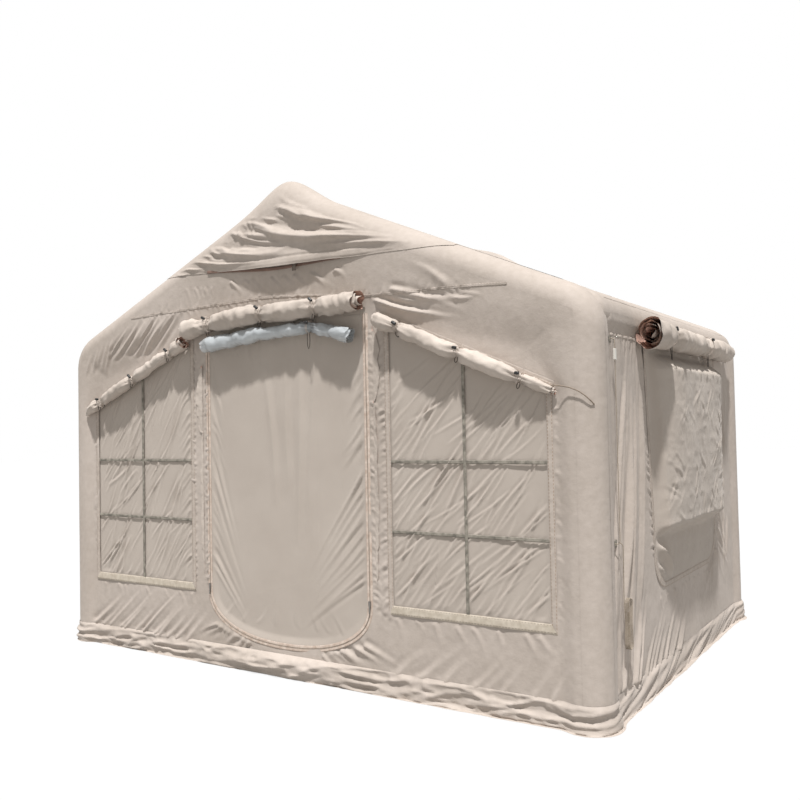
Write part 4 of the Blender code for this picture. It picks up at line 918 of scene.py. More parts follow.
window_net = knitted_net("knitted_mosquito_net", "#C3B8AD", "#B2A69B", 0.40)
NET_FOLDS = {"left": [], "right": []}
for seed, (u0, v0, u1, v1) in enumerate(PANES):
    NET_FOLDS["right"] += scattered(611 + seed, (u0, v0, u1, v1), 19, 0.86, 0.36, 0.0050, 0.0044)
    NET_FOLDS["left"] += scattered(641 + seed, (-u1, v0, -u0, v1), 15, 1.02, 0.36, 0.0055, 0.0052)
for side, seed, start, end, count, width, height in (
    ("right", 62, ((0.59, 0.42), (0.59, 1.25)), ((0.70, 0.56), (0.72, 1.40)), 20, 0.006, 0.0055),
    ("right", 63, ((0.62, 0.36), (1.26, 0.36)), ((0.74, 0.52), (1.34, 0.50)), 14, 0.007, 0.006),
    ("left", 65, ((-0.60, 1.35), (-0.60, 0.45)), ((-0.72, 1.20), (-0.70, 0.36)), 18, 0.006, 0.0055),
    ("left", 66, ((-1.26, 0.37), (-0.64, 0.37)), ((-1.14, 0.52), (-0.60, 0.50)), 12, 0.007, 0.006),
):
    NET_FOLDS[side] += fan(seed, start, end, count, width, height, bow=0.01)
for end in ("front", "back"):
    for side, sign in (("left", -1), ("right", 1)):
        outline, hem = window_outline(sign), window_outline(sign, NET_EDGE, NET_EDGE)
        cloth = cut_cloth(end, bounded(outline, 0.008), NET_STEP, hem, [], net_out(outline, NET_FOLDS[side]))
        net = sewn(f"window_net_{end}_{side}", [cloth], [window_net])
        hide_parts(f"window_mesh_{end}_{side}")

POCKET_FOLDS = (
    fan(71, ((0.60, 1.22), (0.56, 0.72)), ((0.28, 1.12), (0.20, 0.70)), 9, 0.009, 0.0045, True, 0.03)
    + fan(72, ((-0.30, 0.63), (0.46, 0.66)), ((-0.14, 0.78), (0.40, 0.86)), 8, 0.010, 0.0040, True, 0.03)
    + fan(74, ((-0.42, 1.43), (0.52, 1.43)), ((-0.38, 1.29), (0.46, 1.28)), 12, 0.012, 0.008, False, 0.01)
    + scattered(73, (-0.40, 0.68, 0.50, 1.25), 34, 0.9, 0.16, 0.0070, 0.0032)
    + scattered(77, (-0.40, 0.68, 0.50, 1.25), 22, 2.5, 0.14, 0.0070, 0.0030)
    + [(-0.47, 0.60, -0.20, 0.43, 0.022, 0.034, 0.02, False), (-0.46, 0.50, -0.30, 0.44, 0.014, 0.016, 0.01, False)]
)
side_net_edge = side_window_outline(0.004)


def slack_out(u, v):
    """How far a side net stands out: it bellies below the roll and is gathered into a pocket at its foot."""
    across = np.clip((u - SIDE_WINDOW_MIDDLE) / POCKET_HALF_WIDTH, -1, 1)
    foot = POCKET_FOOT + 0.012 * value_noise(u * 6, 0 * u, 79)
    down = np.clip((POCKET_TOP - v) / POCKET_TOP_CURVE, 0, 1)
    up = ramp(v, foot, POCKET_FOOT_CURVE)
    belly = SIDE_WINDOW_BELLY * down * down * (3 - 2 * down) * up * up * (3 - 2 * up)
    belly = belly * (1 - np.abs(across) ** POCKET_SQUARENESS) * (1 - 0.20 * (SIDE_WINDOW_TOP - v))
    free = ramp(onto_edge(side_net_edge, u, v)[2], 0, 0.05)
    crushed = 0.0024 * crumple(u * 17, v * 17, 75) + 0.0040 * value_noise(u * 7, v * 6, 76)
    return WALL_OUT + 0.001 + free * (belly + crushed + folded(u, v, POCKET_FOLDS))


for side in ("right", "left"):
    cloth = cut_cloth(side, bounded(side_net_edge, 0.01), SIDE_STEP, side_net_edge, [], slack_out)
    net = sewn(f"window_net_{side}", [cloth], [window_net])
    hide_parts(f"window_mesh_{side}")


def vent_out(u, v):
    return WALL_OUT - VENT_MESH_DEPTH + 0.002 * value_noise(u * 9, v * 9, 67)


vent_edge = vent_outline(0.006)
for end in ("front", "back"):
    cloth = cut_cloth(end, bounded(vent_edge, 0.008), 0.008, vent_edge, [], vent_out)
    net = sewn(f"vent_net_{end}", [cloth], [window_net])
    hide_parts(f"vent_mesh_{end}")


# The door: one sheet of the same net in the zipped arch, hung from its top edge. The zip's tape is shorter than
# the net's edge, so folds fan inwards from both sides of it.
DOOR_FOLDS = (
    fan(81, ((-0.465, 1.16), (-0.465, 0.46)), ((-0.25, 0.42), (-0.20, 0.15)), 11, 0.0070, 0.0080, True, 0.012)
    + fan(82, ((0.465, 1.02), (0.465, 0.44)), ((0.10, 0.44), (0.04, 0.16)), 11, 0.0070, 0.0066, True, 0.012)
    + fan(83, ((-0.46, 1.50), (-0.46, 1.10)), ((-0.38, 1.26), (-0.32, 0.76)), 7, 0.008, 0.006, True, 0.02)
    + fan(84, ((0.46, 1.45), (0.46, 1.05)), ((0.34, 1.28), (0.30, 0.88)), 8, 0.008, 0.008, True, 0.02)
    + fan(85, ((-0.40, 0.22), (0.40, 0.22)), ((-0.24, 0.36), (0.26, 0.36)), 8, 0.009, 0.003, True, 0.02)
    + fan(86, ((-0.20, 1.50), (0.30, 1.50)), ((-0.06, 0.60), (0.16, 0.55)), 4, 0.020, 0.006, False, 0.03)
    + fan(87, ((-0.36, 1.56), (0.40, 1.56)), ((-0.30, 1.36), (0.36, 1.34)), 8, 0.010, 0.006, True, 0.01)
    + puckers(88, [(-0.466, 1.50), (-0.466, 0.40)], 0.05, 0.05, -0.9, 0.003)
    + puckers(89, [(0.466, 1.50), (0.466, 0.40)], 0.05, 0.05, -2.3, 0.003)
)
door_edge = door_outline(-0.002, DOOR_TOP - 0.0005)


def door_out(u, v):
    free = ramp(onto_edge(door_edge, u, v)[2], 0.012, 0.03)
    sag = 0.006 * value_noise(u * 3, v * 2.2, 88) - 0.006
    return WALL_OUT - DOOR_NET_DEPTH + free * (sag + folded(u, v, DOOR_FOLDS))


cloth = cut_cloth("front", bounded(door_edge, 0.008), DOOR_NET_STEP, door_edge, [], door_out)
door_net = sewn("door_net", [cloth], [window_net], body="door")
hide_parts("door_mesh")


# The windows' tapes: woven polyester webbing, sewn round each net over the wall's cut edge. The front and back
# windows also have three straps across them and a wider, pale cream tape at the sill.
SIDE_TAPE = 0.025
SILL_TAPE = 0.038
GRID_STRAP = 0.0145
GRID_LOW = 0.68
GRID_HIGH = 0.97
TAPE_THICKNESS = 0.0013
STRAP_OVER_TAPE = 0.0006
STITCH_PITCH = 0.013


def sewn_webbing(name, pale, dark, thread):
    """Woven webbing with a dusty, mottled face, and a line of machine stitches near each of its edges. The
    stitches are 4 mm long on the real tape, and are drawn 9 mm long."""
    finish, shader = new_finish(name, {"Roughness": 0.8})

    def worked(operation, *values):
        return node(finish, "Math", dict(enumerate(values)), operation=operation).outputs[0]

    place, cloth = (node(finish, "TexCoord").outputs[kind] for kind in ("Object", "UV"))
    cloth = node(finish, "SeparateXYZ", {0: cloth}).outputs
    spread = node(finish, "MapRange", {"Value": noise(finish, place, 45.0, 4.0), "From Min": 0.35, "From Max": 0.65})
    mix = node(finish, "Mix", {0: spread.outputs[0], 6: linear(dark), 7: linear(pale)}, data_type="RGBA")
    row = worked("COMPARE", worked("ABSOLUTE", worked("SUBTRACT", cloth["X"], 0.5)), 0.36, 0.045)
    pitch = worked("SINE", worked("MULTIPLY", cloth["Y"], 2 * math.pi / STITCH_PITCH))
    stitch = worked("MULTIPLY", worked("GREATER_THAN", pitch, -0.3), row)
    tone = node(finish, "Mix", {0: stitch, 6: mix.outputs[2], 7: linear(thread)}, data_type="RGBA")
    finish.node_tree.links.new(tone.outputs[2], shader.inputs["Base Color"])
    embossed(finish, shader, noise(finish, place, 420.0, 1.0), 0.35, 0.001)
    return finish


def band(wall, inner, outer, stand_out, step=0.012, closed=True, lift=TAPE_THICKNESS, slot=0):
    """A strip of tape between two outlines with matching corners, its long edges turned down onto the cloth."""
    pairs = [(np.array(a, float), np.array(b, float)) for a, b in zip(inner, outer)]
    if closed:
        pairs.append(pairs[0])
    near, far, runs = [], [], []
    run = 0.0
    for (a0, b0), (a1, b1) in zip(pairs, pairs[1:]):
        length = float(np.linalg.norm((a1 + b1 - a0 - b0) / 2))
        count = max(1, round(length / step))
        for share in np.arange(count) / count:
            near.append(a0 + (a1 - a0) * share)
            far.append(b0 + (b1 - b0) * share)
            runs.append(run + length * share)
        run += length
    near, far = np.array(near + [pairs[-1][0]]), np.array(far + [pairs[-1][1]])
    across = np.array([0, 0.05, 0.28, 0.5, 0.72, 0.95, 1])
    places = near[:, None, :] * (1 - across[None, :, None]) + far[:, None, :] * across[None, :, None]
    u, v = places[..., 0], places[..., 1]
    out = stand_out(u, v) + lift * np.array([0, 1, 1, 1, 1, 1, 0])
    return patch(in_wall(wall, u, v, out), stacked(across[None, :], np.array(runs + [run])[:, None]), slot)


def ribbon(wall, path, width, stand_out, **settings):
    """A strip of tape along a path of places on a wall."""
    path = np.array(path, float)
    along = ways_along(path)
    aside = stacked(-along[:, 1], along[:, 0]) * width / 2
    return band(wall, path - aside, path + aside, stand_out, closed=False, **settings)


def tape_out(u, v):
    """Webbing follows the wall's face in shallow waves, where the cloth under it gives."""
    waves = 0.0008 * (1 + value_noise(u * 22, v * 22, 91))
    return WALL_OUT + 0.0004 + waves + 0.0006 * value_noise(u * 60, v * 60, 92)


def strap_out(u, v):
    return tape_out(u, v) + STRAP_OVER_TAPE


grid_webbing = sewn_webbing("grid_strap_webbing", "#9E978B", "#6C675E", "#837C71")
side_webbing = sewn_webbing("side_tape_webbing", "#C0B4A9", "#AFA398", "#97816F")
sill_webbing = sewn_webbing("sill_tape_webbing", "#CEC3B3", "#BBAF9E", "#A4988A")
for end in ("front", "back"):
    for side, sign in (("left", -1), ("right", 1)):
        inner, outer = window_outline(sign), window_outline(sign, SIDE_TAPE, SILL_TAPE)
        middle = sign * (WINDOW_INNER + WINDOW_OUTER) / 2
        edges = [sign * WINDOW_INNER, sign * WINDOW_OUTER]
        parts = [
            band(end, inner[1:] + inner[:1], outer[1:] + outer[:1], tape_out, closed=False, slot=1),
            band(end, inner[:2], outer[:2], strap_out, closed=False, slot=2),
        ]
        for level in (GRID_LOW, GRID_HIGH):
            crossing = [(across, level) for across in np.linspace(*edges, 12)]
            parts.append(ribbon(end, crossing, GRID_STRAP, tape_out))
        upright = [(middle, up) for up in np.linspace(WINDOW_SILL, window_top(abs(middle)), 16)]
        parts.append(ribbon(end, upright, GRID_STRAP, strap_out))
        tapes = sewn(f"window_frame_tapes_{end}_{side}", parts, [grid_webbing, side_webbing, sill_webbing])
        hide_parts(f"window_tapes_{end}_{side}")
for side in ("right", "left"):
    edge = band(side, side_window_outline(0), side_window_outline(SIDE_TAPE), tape_out)
    tapes = sewn(f"window_frame_tapes_{side}", [edge], [side_webbing])
    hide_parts(f"window_tapes_{side}")


# The door's zip: two halves of woven tape, each with its row of nylon teeth, that meet round the arch. One half
# is sewn to the net and one to the wall, and a metal slider with a pull tab closes each side.
ZIP_HALF_TAPE = 0.014
TEETH_RADIUS = 0.0015
TEETH_PITCH = 0.005

zip_webbing = sewn_webbing("zip_tape_webbing", "#D8C9BC", "#BDA999", "#B69C8E")
zip_teeth, _ = new_finish("moulded_nylon_zip_teeth", {"Base Color": linear("#8E8072"), "Roughness": 0.45})


def zip_out(u, v):
    return WALL_OUT + 0.0002 + 0.00012 * (1 + value_noise(u * 40, v * 40, 93))


def zip_half(margin_in, margin_out, teeth_margin, top):
    """One half of the zip: its band of tape and its row of teeth, ribbed tooth by tooth."""
    inner, outer = door_outline(margin_in, top), door_outline(margin_out, top)
    tape = band("front", inner[1:] + inner[:1], outer[1:] + outer[:1], zip_out, closed=False, step=0.02, lift=0.001)
    edge = door_outline(teeth_margin, top)
    line = np.array(edge[1:] + edge[:1])
    runs = runs_along(line)
    even = np.arange(0, runs[-1], TEETH_PITCH / 4)
    u, v = np.interp(even, runs, line[:, 0]), np.interp(even, runs, line[:, 1])
    route = in_wall("front", u, v, WALL_OUT + 0.0004)
    def rib(run, turn):
        return TEETH_RADIUS * (0.85 + 0.15 * np.sin(2 * math.pi * run / TEETH_PITCH)) + 0 * turn

    return [tape, swept(route, even, rib, (0, -1, 0), 6, slot=1)]


zip_finishes = [zip_webbing, zip_teeth]
inner_half = zip_half(-ZIP_HALF_TAPE, -0.0006, -0.0020, DOOR_TOP - 0.0003)
zip_inner = sewn("door_zip_tape_inner", inner_half, zip_finishes, body="door")
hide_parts("door_zip_inner")
zip_outer = sewn("door_zip_tape_outer", zip_half(0.0003, ZIP_HALF_TAPE, 0.0017, DOOR_TOP), zip_finishes)
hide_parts("door_zip_outer")

zip_metal, metal_shader = new_finish("die_cast_zinc", {"Metallic": 0.9})
wear = noise(zip_metal, node(zip_metal, "TexCoord").outputs["Object"], 120.0, 3.0)
shaded(zip_metal, metal_shader, wear, "#6E6A66", "#A29D97")
rough = node(zip_metal, "MapRange", {"Value": wear, "To Min": 0.28, "To Max": 0.5})
zip_metal.node_tree.links.new(rough.outputs[0], metal_shader.inputs["Roughness"])


# The rolled covers: each opening's canvas cover, wound up on itself in the open and tied. Between its ties a roll
# swells, and at each it is drawn in to a waist with the cloth gathered in creases. Its inner face is brown-pink.
DOOR_ROLL_LINE = [(-0.583, 0.0045), (-0.235, 0.0405), (0.118, 0.045), (0.470, 0.0495)]
DOOR_TIE_SHARES = [0.16, 0.48, 0.78]
DOOR_ROLL_RADIUS = 0.045
CLEAR_ROLL_LINE = [(-0.456, -0.075), (-0.141, -0.048), (0.188, -0.037), (0.414, -0.088)]
CLEAR_TIE_SHARE = 0.745
CLEAR_ROLL_RADIUS = 0.034
WINDOW_ROLL_RADIUS = 0.032
WINDOW_ROLL_ENDS = {"left": (0.600, 1.355), "right": (0.545, 1.325)}
WINDOW_TIE_SHARES = [0.14, 0.5, 0.84]
SIDE_ROLL_RADIUS = 0.058
SIDE_ROLL_HEIGHT = BEAM_Z - 0.051
SIDE_ROLL_ENDS = (-0.63, 0.86)
SIDE_TIE_SHARES = [0.16, 0.58]
ROLL_STEP = 0.007
POINTS_A_TURN = 26
THINNED_BY = 0.78
CRUSH_HEIGHT = 0.0040
TWIST_HEIGHT = 0.0013
PLEAT_HEIGHT = 0.0052
ROLL_END = 0.05
DOOR_SEAT = WALL_OUT + 0.0003
CLEAR_SEAT = WALL_OUT + 0.0018
WINDOW_SEAT = WALL_OUT + 0.0018


def two_faced_canvas(name, pale, dark, inner):
    """The same oxford with its coating on the inner face: a smoother brown-pink where the roll shows it."""
    finish = oxford_canvas(name, pale, dark, crease=0.5, sheen=0.05)
    tree = finish.node_tree
    shader = tree.nodes["Principled BSDF"]
    outer = shader.inputs["Base Color"].links[0].from_socket
    behind = node(finish, "NewGeometry").outputs["Backfacing"]
    tone = node(finish, "Mix", {0: behind, 6: outer, 7: linear(inner)}, data_type="RGBA")
    tree.links.new(tone.outputs[2], shader.inputs["Base Color"])
    return finish


def roll_line(places, count):
    """The roll's middle line in even steps, its corners eased off, and each place's run along it."""
    places = np.array(places, float)
    even = np.linspace(0, len(places) - 1, count)
    line = np.stack([np.interp(even, np.arange(len(places)), places[:, i]) for i in (0, 1)], axis=-1)
    ease = max(3, count // 8) | 1
    padded_line = np.concatenate([2 * line[:1] - line[ease:0:-1], line, 2 * line[-1:] - line[-2 : -ease - 2 : -1]])
    kernel = np.hanning(ease + 2) / np.hanning(ease + 2).sum()
    smooth = np.stack([np.convolve(padded_line[:, i], kernel, "same") for i in (0, 1)], axis=-1)
    line = smooth[ease : ease + count]
    return line, runs_along(line)


def waist(runs, ties, length, depth, reach):
    """How full the roll is along its length: drawn in at its ties, slack between them."""
    full = np.ones_like(runs)
    for tie in ties:
        full = full - depth * np.exp(-np.abs((runs - tie * length) / reach) ** 1.6)
    return full


def rolled(wall, places, ties, radius, seat, turns, seed, fullness, depth, reach, creases, folds=(), jut=0.010):
    """A cover wound up outwards, a spiral that leaves the wall at the roll's back and goes under it first.
    fullness gives the roll's girth at shares of its length, against its full radius."""
    count = round(np.linalg.norm(np.subtract(places[-1], places[0])) / ROLL_STEP)
    line, runs = roll_line(places, count)
    length = runs[-1]
    girth = waist(runs, ties, length, depth, reach) * np.interp(runs / length, *zip(*fullness))
    steps = np.arange(round(turns * POINTS_A_TURN) + 1)
    turn = -math.pi / 2 - 2 * math.pi * steps / POINTS_A_TURN
    wound = (1 - THINNED_BY * (steps / steps[-1]) ** 0.85)[None, :]
    s, t = np.meshgrid(runs, turn, indexing="ij")
    arc = (-t - math.pi / 2) * radius
    crushed = CRUSH_HEIGHT * creases * crumple(s * 19 + arc * 6, arc * 13 - s * 5, seed)
    face = crushed + 0.0030 * value_noise(s * 9, arc * 7, seed + 9)
    twist = np.sin(s * 34 + arc * 22 + 3.5 * value_noise(s * 7, arc * 5, seed + 4))
    patches = np.clip(0.5 + value_noise(s * 5, arc * 6, seed + 6), 0, 1)
    face = face + TWIST_HEIGHT * creases * (1 - 2 * np.abs(twist)) * patches
    for tie in ties:
        from_tie = np.abs(s - tie * length)
        gather = np.exp(-from_tie / 0.045) * np.clip(from_tie / 0.012, 0.15, 1)
        pleat = np.sin(t * 8 + 3 * value_noise(s * 12 + tie * 9, t * 1.5 + 20, seed + 5))
        face = face + creases * PLEAT_HEIGHT * gather * pleat
    ends = np.clip(1 - np.minimum(s, length - s) / ROLL_END, 0, 1)
    face = face + folded(s, arc, folds) + 0.004 * creases * ends * value_noise(s * 20, t * 2.1, seed + 12)
    reach_out = (radius * girth[:, None]) * wound + face * np.clip(wound * 1.4 - 0.3, 0, 1)
    flat = 1 - 0.05 * value_noise(s * 4, 0 * s + seed, seed + 7)
    outward = np.where(s > length / 2, 1, -1)
    along_jut = outward * ends * (jut * value_noise(t * 0.7, 0 * t + 3, seed + 8) + jut * 1.3 * (1 - wound))
    lift = (firm_out(wall, line[:, 0], line[:, 1])[0] - WALL_OUT)[:, None]
    middle_out = seat + lift + radius * np.minimum(girth, 1.15)[:, None]
    (line_u, line_v), (way_u, way_v) = line.T[:, :, None], ways_along(line).T[:, :, None]
    across = line_u - way_v * reach_out * np.cos(t) + along_jut * way_u
    up = line_v + way_u * reach_out * np.cos(t) * flat + along_jut * way_v
    out = np.maximum(middle_out + reach_out * np.sin(t), seat + lift - 0.0002)
    return patch(in_wall(wall, across, up, out)[:, ::-1], stacked(s, arc)[:, ::-1])


def window_roll_line(side, sign):
    """The line of a front or back window's roll, close under the rake."""
    near, far = WINDOW_ROLL_ENDS[side]
    return [(sign * across, float(window_top(across))) for across in (near, (near + far) / 2, far)]


def side_roll_line(sign):
    return [(sign * across, SIDE_ROLL_HEIGHT) for across in (SIDE_ROLL_ENDS[0], 0.1, SIDE_ROLL_ENDS[1])]


roll_canvas = two_faced_canvas("rolled_oxford_polyester", "#C9BDB2", "#B3A79C", "#C6A08F")
door_line = [(across, DOOR_TOP + up) for across, up in DOOR_ROLL_LINE]
door_cross = [
    (0.095, 0.150, 0.185, 0.075, 0.006, 0.008, 0.0, False), (0.095, 0.075, 0.185, 0.135, 0.006, 0.006, 0.0, False),
    (0.88, 0.180, 0.93, 0.060, 0.008, 0.008, 0.01, False), (0.94, 0.190, 0.97, 0.070, 0.007, 0.007, 0.01, False),
    (0.99, 0.180, 1.01, 0.060, 0.008, 0.006, 0.01, False), (0.30, 0.150, 0.60, 0.120, 0.010, 0.004, 0.02, False),
    (0.66, 0.150, 0.49, 0.090, 0.014, 0.007, 0.01, False),
]
door_fullness = [
    (0, 0.95), (0.03, 1.25), (0.075, 1.15), (0.10, 0.82), (0.15, 0.85),
    (0.25, 1.08), (0.42, 1.1), (0.6, 1.0), (0.86, 1.08), (1, 0.98),
]
roll = rolled(
    "front", door_line, DOOR_TIE_SHARES, DOOR_ROLL_RADIUS, DOOR_SEAT, 4, 200, door_fullness,
    0.36, 0.026, 2.0, door_cross, 0.018,
)
piece = sewn("door_canvas_cover_roll", [roll], [roll_canvas])
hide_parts("door_canvas_roll")

window_fullness = {
    "left": [(0, 1.15), (0.10, 1.12), (0.3, 0.98), (0.6, 1.02), (0.9, 1.05), (0.96, 0.8), (1, 0.35)],
    "right": [(0, 1.0), (0.06, 1.2), (0.3, 1.1), (0.65, 1.25), (0.8, 0.95), (0.9, 0.75), (1, 0.4)],
}
for end in ("front", "back"):
    for side, sign, seed in (("left", -1, 240), ("right", 1, 260)):
        roll = rolled(
            end, window_roll_line(side, sign), WINDOW_TIE_SHARES, WINDOW_ROLL_RADIUS, WINDOW_SEAT, 3.5, seed,
            window_fullness[side], 0.50, 0.030, 1.9,
        )
        piece = sewn(f"window_cover_roll_{end}_{side}", [roll], [roll_canvas])
        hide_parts(f"window_roll_{end}_{side}")
side_fullness = [(0, 1.12), (0.1, 1.1), (0.35, 0.98), (0.55, 0.9), (0.75, 1.0), (0.92, 0.8), (1, 0.45)]
for side, sign in (("right", 1), ("left", -1)):
    roll = rolled(
        side, side_roll_line(sign), SIDE_TIE_SHARES, SIDE_ROLL_RADIUS, WINDOW_SEAT, 4, 280, side_fullness,
        0.34, 0.04, 2.4, (), 0.040,
    )
    piece = sewn(f"window_cover_roll_{side}", [roll], [roll_canvas])
    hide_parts(f"window_roll_{side}")


# The clear cover: PVC film, rolled up under the canvas one. It is bluish and glossy, and its many turns together
# look like milky glass, with white glints on their creases.
film_values = {"Roughness": 0.16, "Alpha": 0.72, "Coat Weight": 0.5, "Coat Roughness": 0.08}
clear_film, film_shader = new_finish("clear_pvc_film", film_values)
place = node(clear_film, "TexCoord").outputs["Object"]
shaded(clear_film, film_shader, noise(clear_film, place, 14.0, 4.0), "#B4B8BA", "#DDE1E3")
embossed(clear_film, film_shader, noise(clear_film, place, 40.0, 3.0), 0.4, 0.004)

clear_line = [(across, DOOR_TOP + up) for across, up in CLEAR_ROLL_LINE]
clear_fullness = [(0, 1.0), (0.05, 1.15), (0.3, 1.05), (0.62, 0.9), (0.8, 0.85), (1, 1.05)]
roll = rolled(
    "front", clear_line, [CLEAR_TIE_SHARE], CLEAR_ROLL_RADIUS, CLEAR_SEAT, 4, 300, clear_fullness,
    0.35, 0.03, 2.2, (), 0.012,
)
piece = sewn("door_clear_cover_roll", [roll], [clear_film])
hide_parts("door_clear_roll")


# The ties: each a loop of thin black elastic round the roll's waist, on a tongue of canvas sewn to the wall. A
# black toggle bar holds it closed, and the loop's spare end hangs below the roll.
TIE_HEM = 0.016
TONGUE_WIDTH = 0.014
ELASTIC_RADIUS = 0.0015
TOGGLE_RADIUS = 0.0065
TOGGLE_LENGTH = 0.028
TOGGLE_ANGLE = math.radians(54)
ELASTIC_SLACK = 0.0035
CLOSED_END = 0.0002

elastic, elastic_shader = new_finish("black_braided_elastic", {"Roughness": 0.75})
ribs = noise(elastic, node(elastic, "TexCoord").outputs["Object"], 500.0, 1.0)
shaded(elastic, elastic_shader, ribs, "#1E1A18", "#4A4039")
toggle_plastic, _ = new_finish("moulded_black_nylon", {"Base Color": linear("#1D1B1A"), "Roughness": 0.38})


def bent_tube(route, radius, slot, columns=8, taper=False):
    """A thin round tube along any route in space, closed over its ends."""
    reach = np.full(len(route), radius)
    reach[0] = reach[-1] = CLOSED_END
    if taper:
        share = np.linspace(-1, 1, len(route))
        reach = np.maximum(radius * np.sqrt(np.clip(1 - np.abs(share) ** 8, 0, 1)), CLOSED_END)
    runs = np.linspace(0, 1, len(route))
    return swept(route, runs, lambda run, turn: reach[:, None] + 0 * turn, None, columns, radius, slot)


def tie(wall, places, share, radius, seat, base, girth, hem_up, seed, hang):
    """The tongue, two turns of elastic, the toggle and the hanging end of one tie."""
    draw = np.random.default_rng(seed)
    line, runs = roll_line(places, 120)
    across, up = (float(np.interp(share * runs[-1], runs, line[:, i])) for i in (0, 1))
    direction = np.array([np.interp(share * runs[-1], runs, np.gradient(line[:, i])) for i in (0, 1)])
    direction /= np.linalg.norm(direction)
    middle_out = seat + radius
    parts = []
    turns = np.linspace(0, 2 * math.pi, 33)
    reach = radius * girth + ELASTIC_SLACK
    for offset in (-0.004, 0.003):
        route = in_wall(
            wall,
            across + direction[0] * offset - direction[1] * reach * np.cos(turns),
            up + direction[1] * offset + direction[0] * reach * np.cos(turns),
            np.maximum(middle_out + reach * np.sin(turns), base + ELASTIC_RADIUS),
        )
        parts.append(bent_tube(route, ELASTIC_RADIUS, 0))
    low, high = sorted((0.0, hem_up + math.copysign(TIE_HEM / 2, hem_up)))
    tongue = [(across, up + rise) for rise in np.linspace(low, high, 8)]
    parts.append(ribbon(wall, tongue, TONGUE_WIDTH, lambda u, v: base + 0.0002 + 0 * u, step=0.01))
    reach = radius * girth + ELASTIC_SLACK + TOGGLE_RADIUS
    spread = np.linspace(-0.5, 0.5, 13) * TOGGLE_LENGTH
    lean = draw.uniform(-0.3, 0.3)
    toggle_u = across + spread * math.cos(lean) * 0.75
    toggle_v = up + reach * math.cos(TOGGLE_ANGLE) + spread * math.sin(lean) - 0.35 * spread
    toggle = in_wall(wall, toggle_u, toggle_v, middle_out + reach * math.sin(TOGGLE_ANGLE))
    parts.append(bent_tube(toggle, TOGGLE_RADIUS, 2, 12, taper=True))
    drop = np.linspace(0, 1, 17)
    hung = np.sin(math.pi * drop)
    swing = draw.uniform(-0.010, 0.010)
    loop_u = across + 0.007 * np.cos(2 * math.pi * drop * 0.5 + math.pi) * hung**0.4 + swing * hung
    loop_v = up - radius * girth * 0.9 - hang * hung
    loop_out = middle_out + radius * girth * 0.35 + 0.004 * np.cos(math.pi * drop)
    parts.append(bent_tube(in_wall(wall, loop_u, loop_v, loop_out), ELASTIC_RADIUS, 1))
    return parts


def tie_hem(wall, places, hem_up, base):
    """The hem that the tongues are sewn into, a strip of the wall's own cloth along the roll."""
    line = [(across, up + hem_up) for across, up in places]
    fine = roll_line(line, 60)[0]
    return ribbon(wall, fine, TIE_HEM, lambda u, v: base + 0.0001 + firm_out(wall, u, v)[0] - WALL_OUT, lift=0.0005)


def tied(wall, line, shares, seeds, radius, seat, girth, hem_up, hang):
    """A hem with all the ties of one roll."""
    parts = [tie_hem(wall, line, hem_up, seat)]
    for share, seed in zip(shares, seeds):
        parts += tie(wall, line, share, radius, seat, seat, girth, hem_up, seed, hang)
    return parts


tie_finishes = [canvas, elastic, toggle_plastic]
door_hem_up = DOOR_ROLL_RADIUS - 0.006
parts = tied("front", door_line, DOOR_TIE_SHARES, (1, 2, 3), DOOR_ROLL_RADIUS, DOOR_SEAT, 0.78, door_hem_up, 0.030)
parts += tie("front", clear_line, CLEAR_TIE_SHARE, CLEAR_ROLL_RADIUS, CLEAR_SEAT, DOOR_SEAT, 0.66, 0.07, 4, 0.075)
ties = sewn("door_cover_ties", parts, tie_finishes)
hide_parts("door_ties")
window_hem_up = WINDOW_ROLL_RADIUS - 0.004
for side, sign, seeds in (("left", -1, (2, 3, 4)), ("right", 1, (8, 9, 10))):
    line = window_roll_line(side, sign)
    parts = tied("front", line, WINDOW_TIE_SHARES, seeds, WINDOW_ROLL_RADIUS, WINDOW_SEAT, 0.62, window_hem_up, 0.022)
    ties = sewn(f"window_cover_ties_{side}_of_door", parts, tie_finishes)
    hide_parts(f"window_ties_front_{side}")
line = side_roll_line(1)
parts = tied("right", line, SIDE_TIE_SHARES, (8, 9), SIDE_ROLL_RADIUS, WINDOW_SEAT, 0.75, -TIE_HEM, 0.060)
ties = sewn("window_cover_ties_side", parts, tie_finishes)
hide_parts("window_ties_right")


# The gable flaps: a hood of the wall's oxford over each vent, sewn on near the ridge and along both rakes. It hangs
# in broad slack folds from its peak to a double-stitched hem, which stands off the wall and shades the vent. A
# brown strip under the hem is painted shade: the coating's own brown-pink, darkened to stand for the shaded gap there.
FLAP_HEM = RAKE_TOP - 0.272
FLAP_LEFT = 0.80
FLAP_RIGHT = 0.895
APEX_ROUND = 0.05
FLAP_COLUMNS = 260
FLAP_ROWS = 84
FLAP_LIFT = 0.0016
HEM_BAND = 0.042
HEM_GAPE = 0.014
HEM_TILT = 0.030
HEM_SAG = 0.006
FIRST_TURN = 0.55
PEAK_HEIGHT = 0.050
PEAK_PLACE = 0.03
PEAK_WIDTH = 0.17
STITCH_ROWS = (0.05, 0.92)
STITCH_DEPTH = 0.0035
HOOK_PLACE = 0.102
HOOK_FOOT = 1.822
HOOK_TOP = 1.868
HOOK_WIDTH = 0.022
HOOK_OUT = 0.094
GAP_STRIP_WIDTH = 0.014

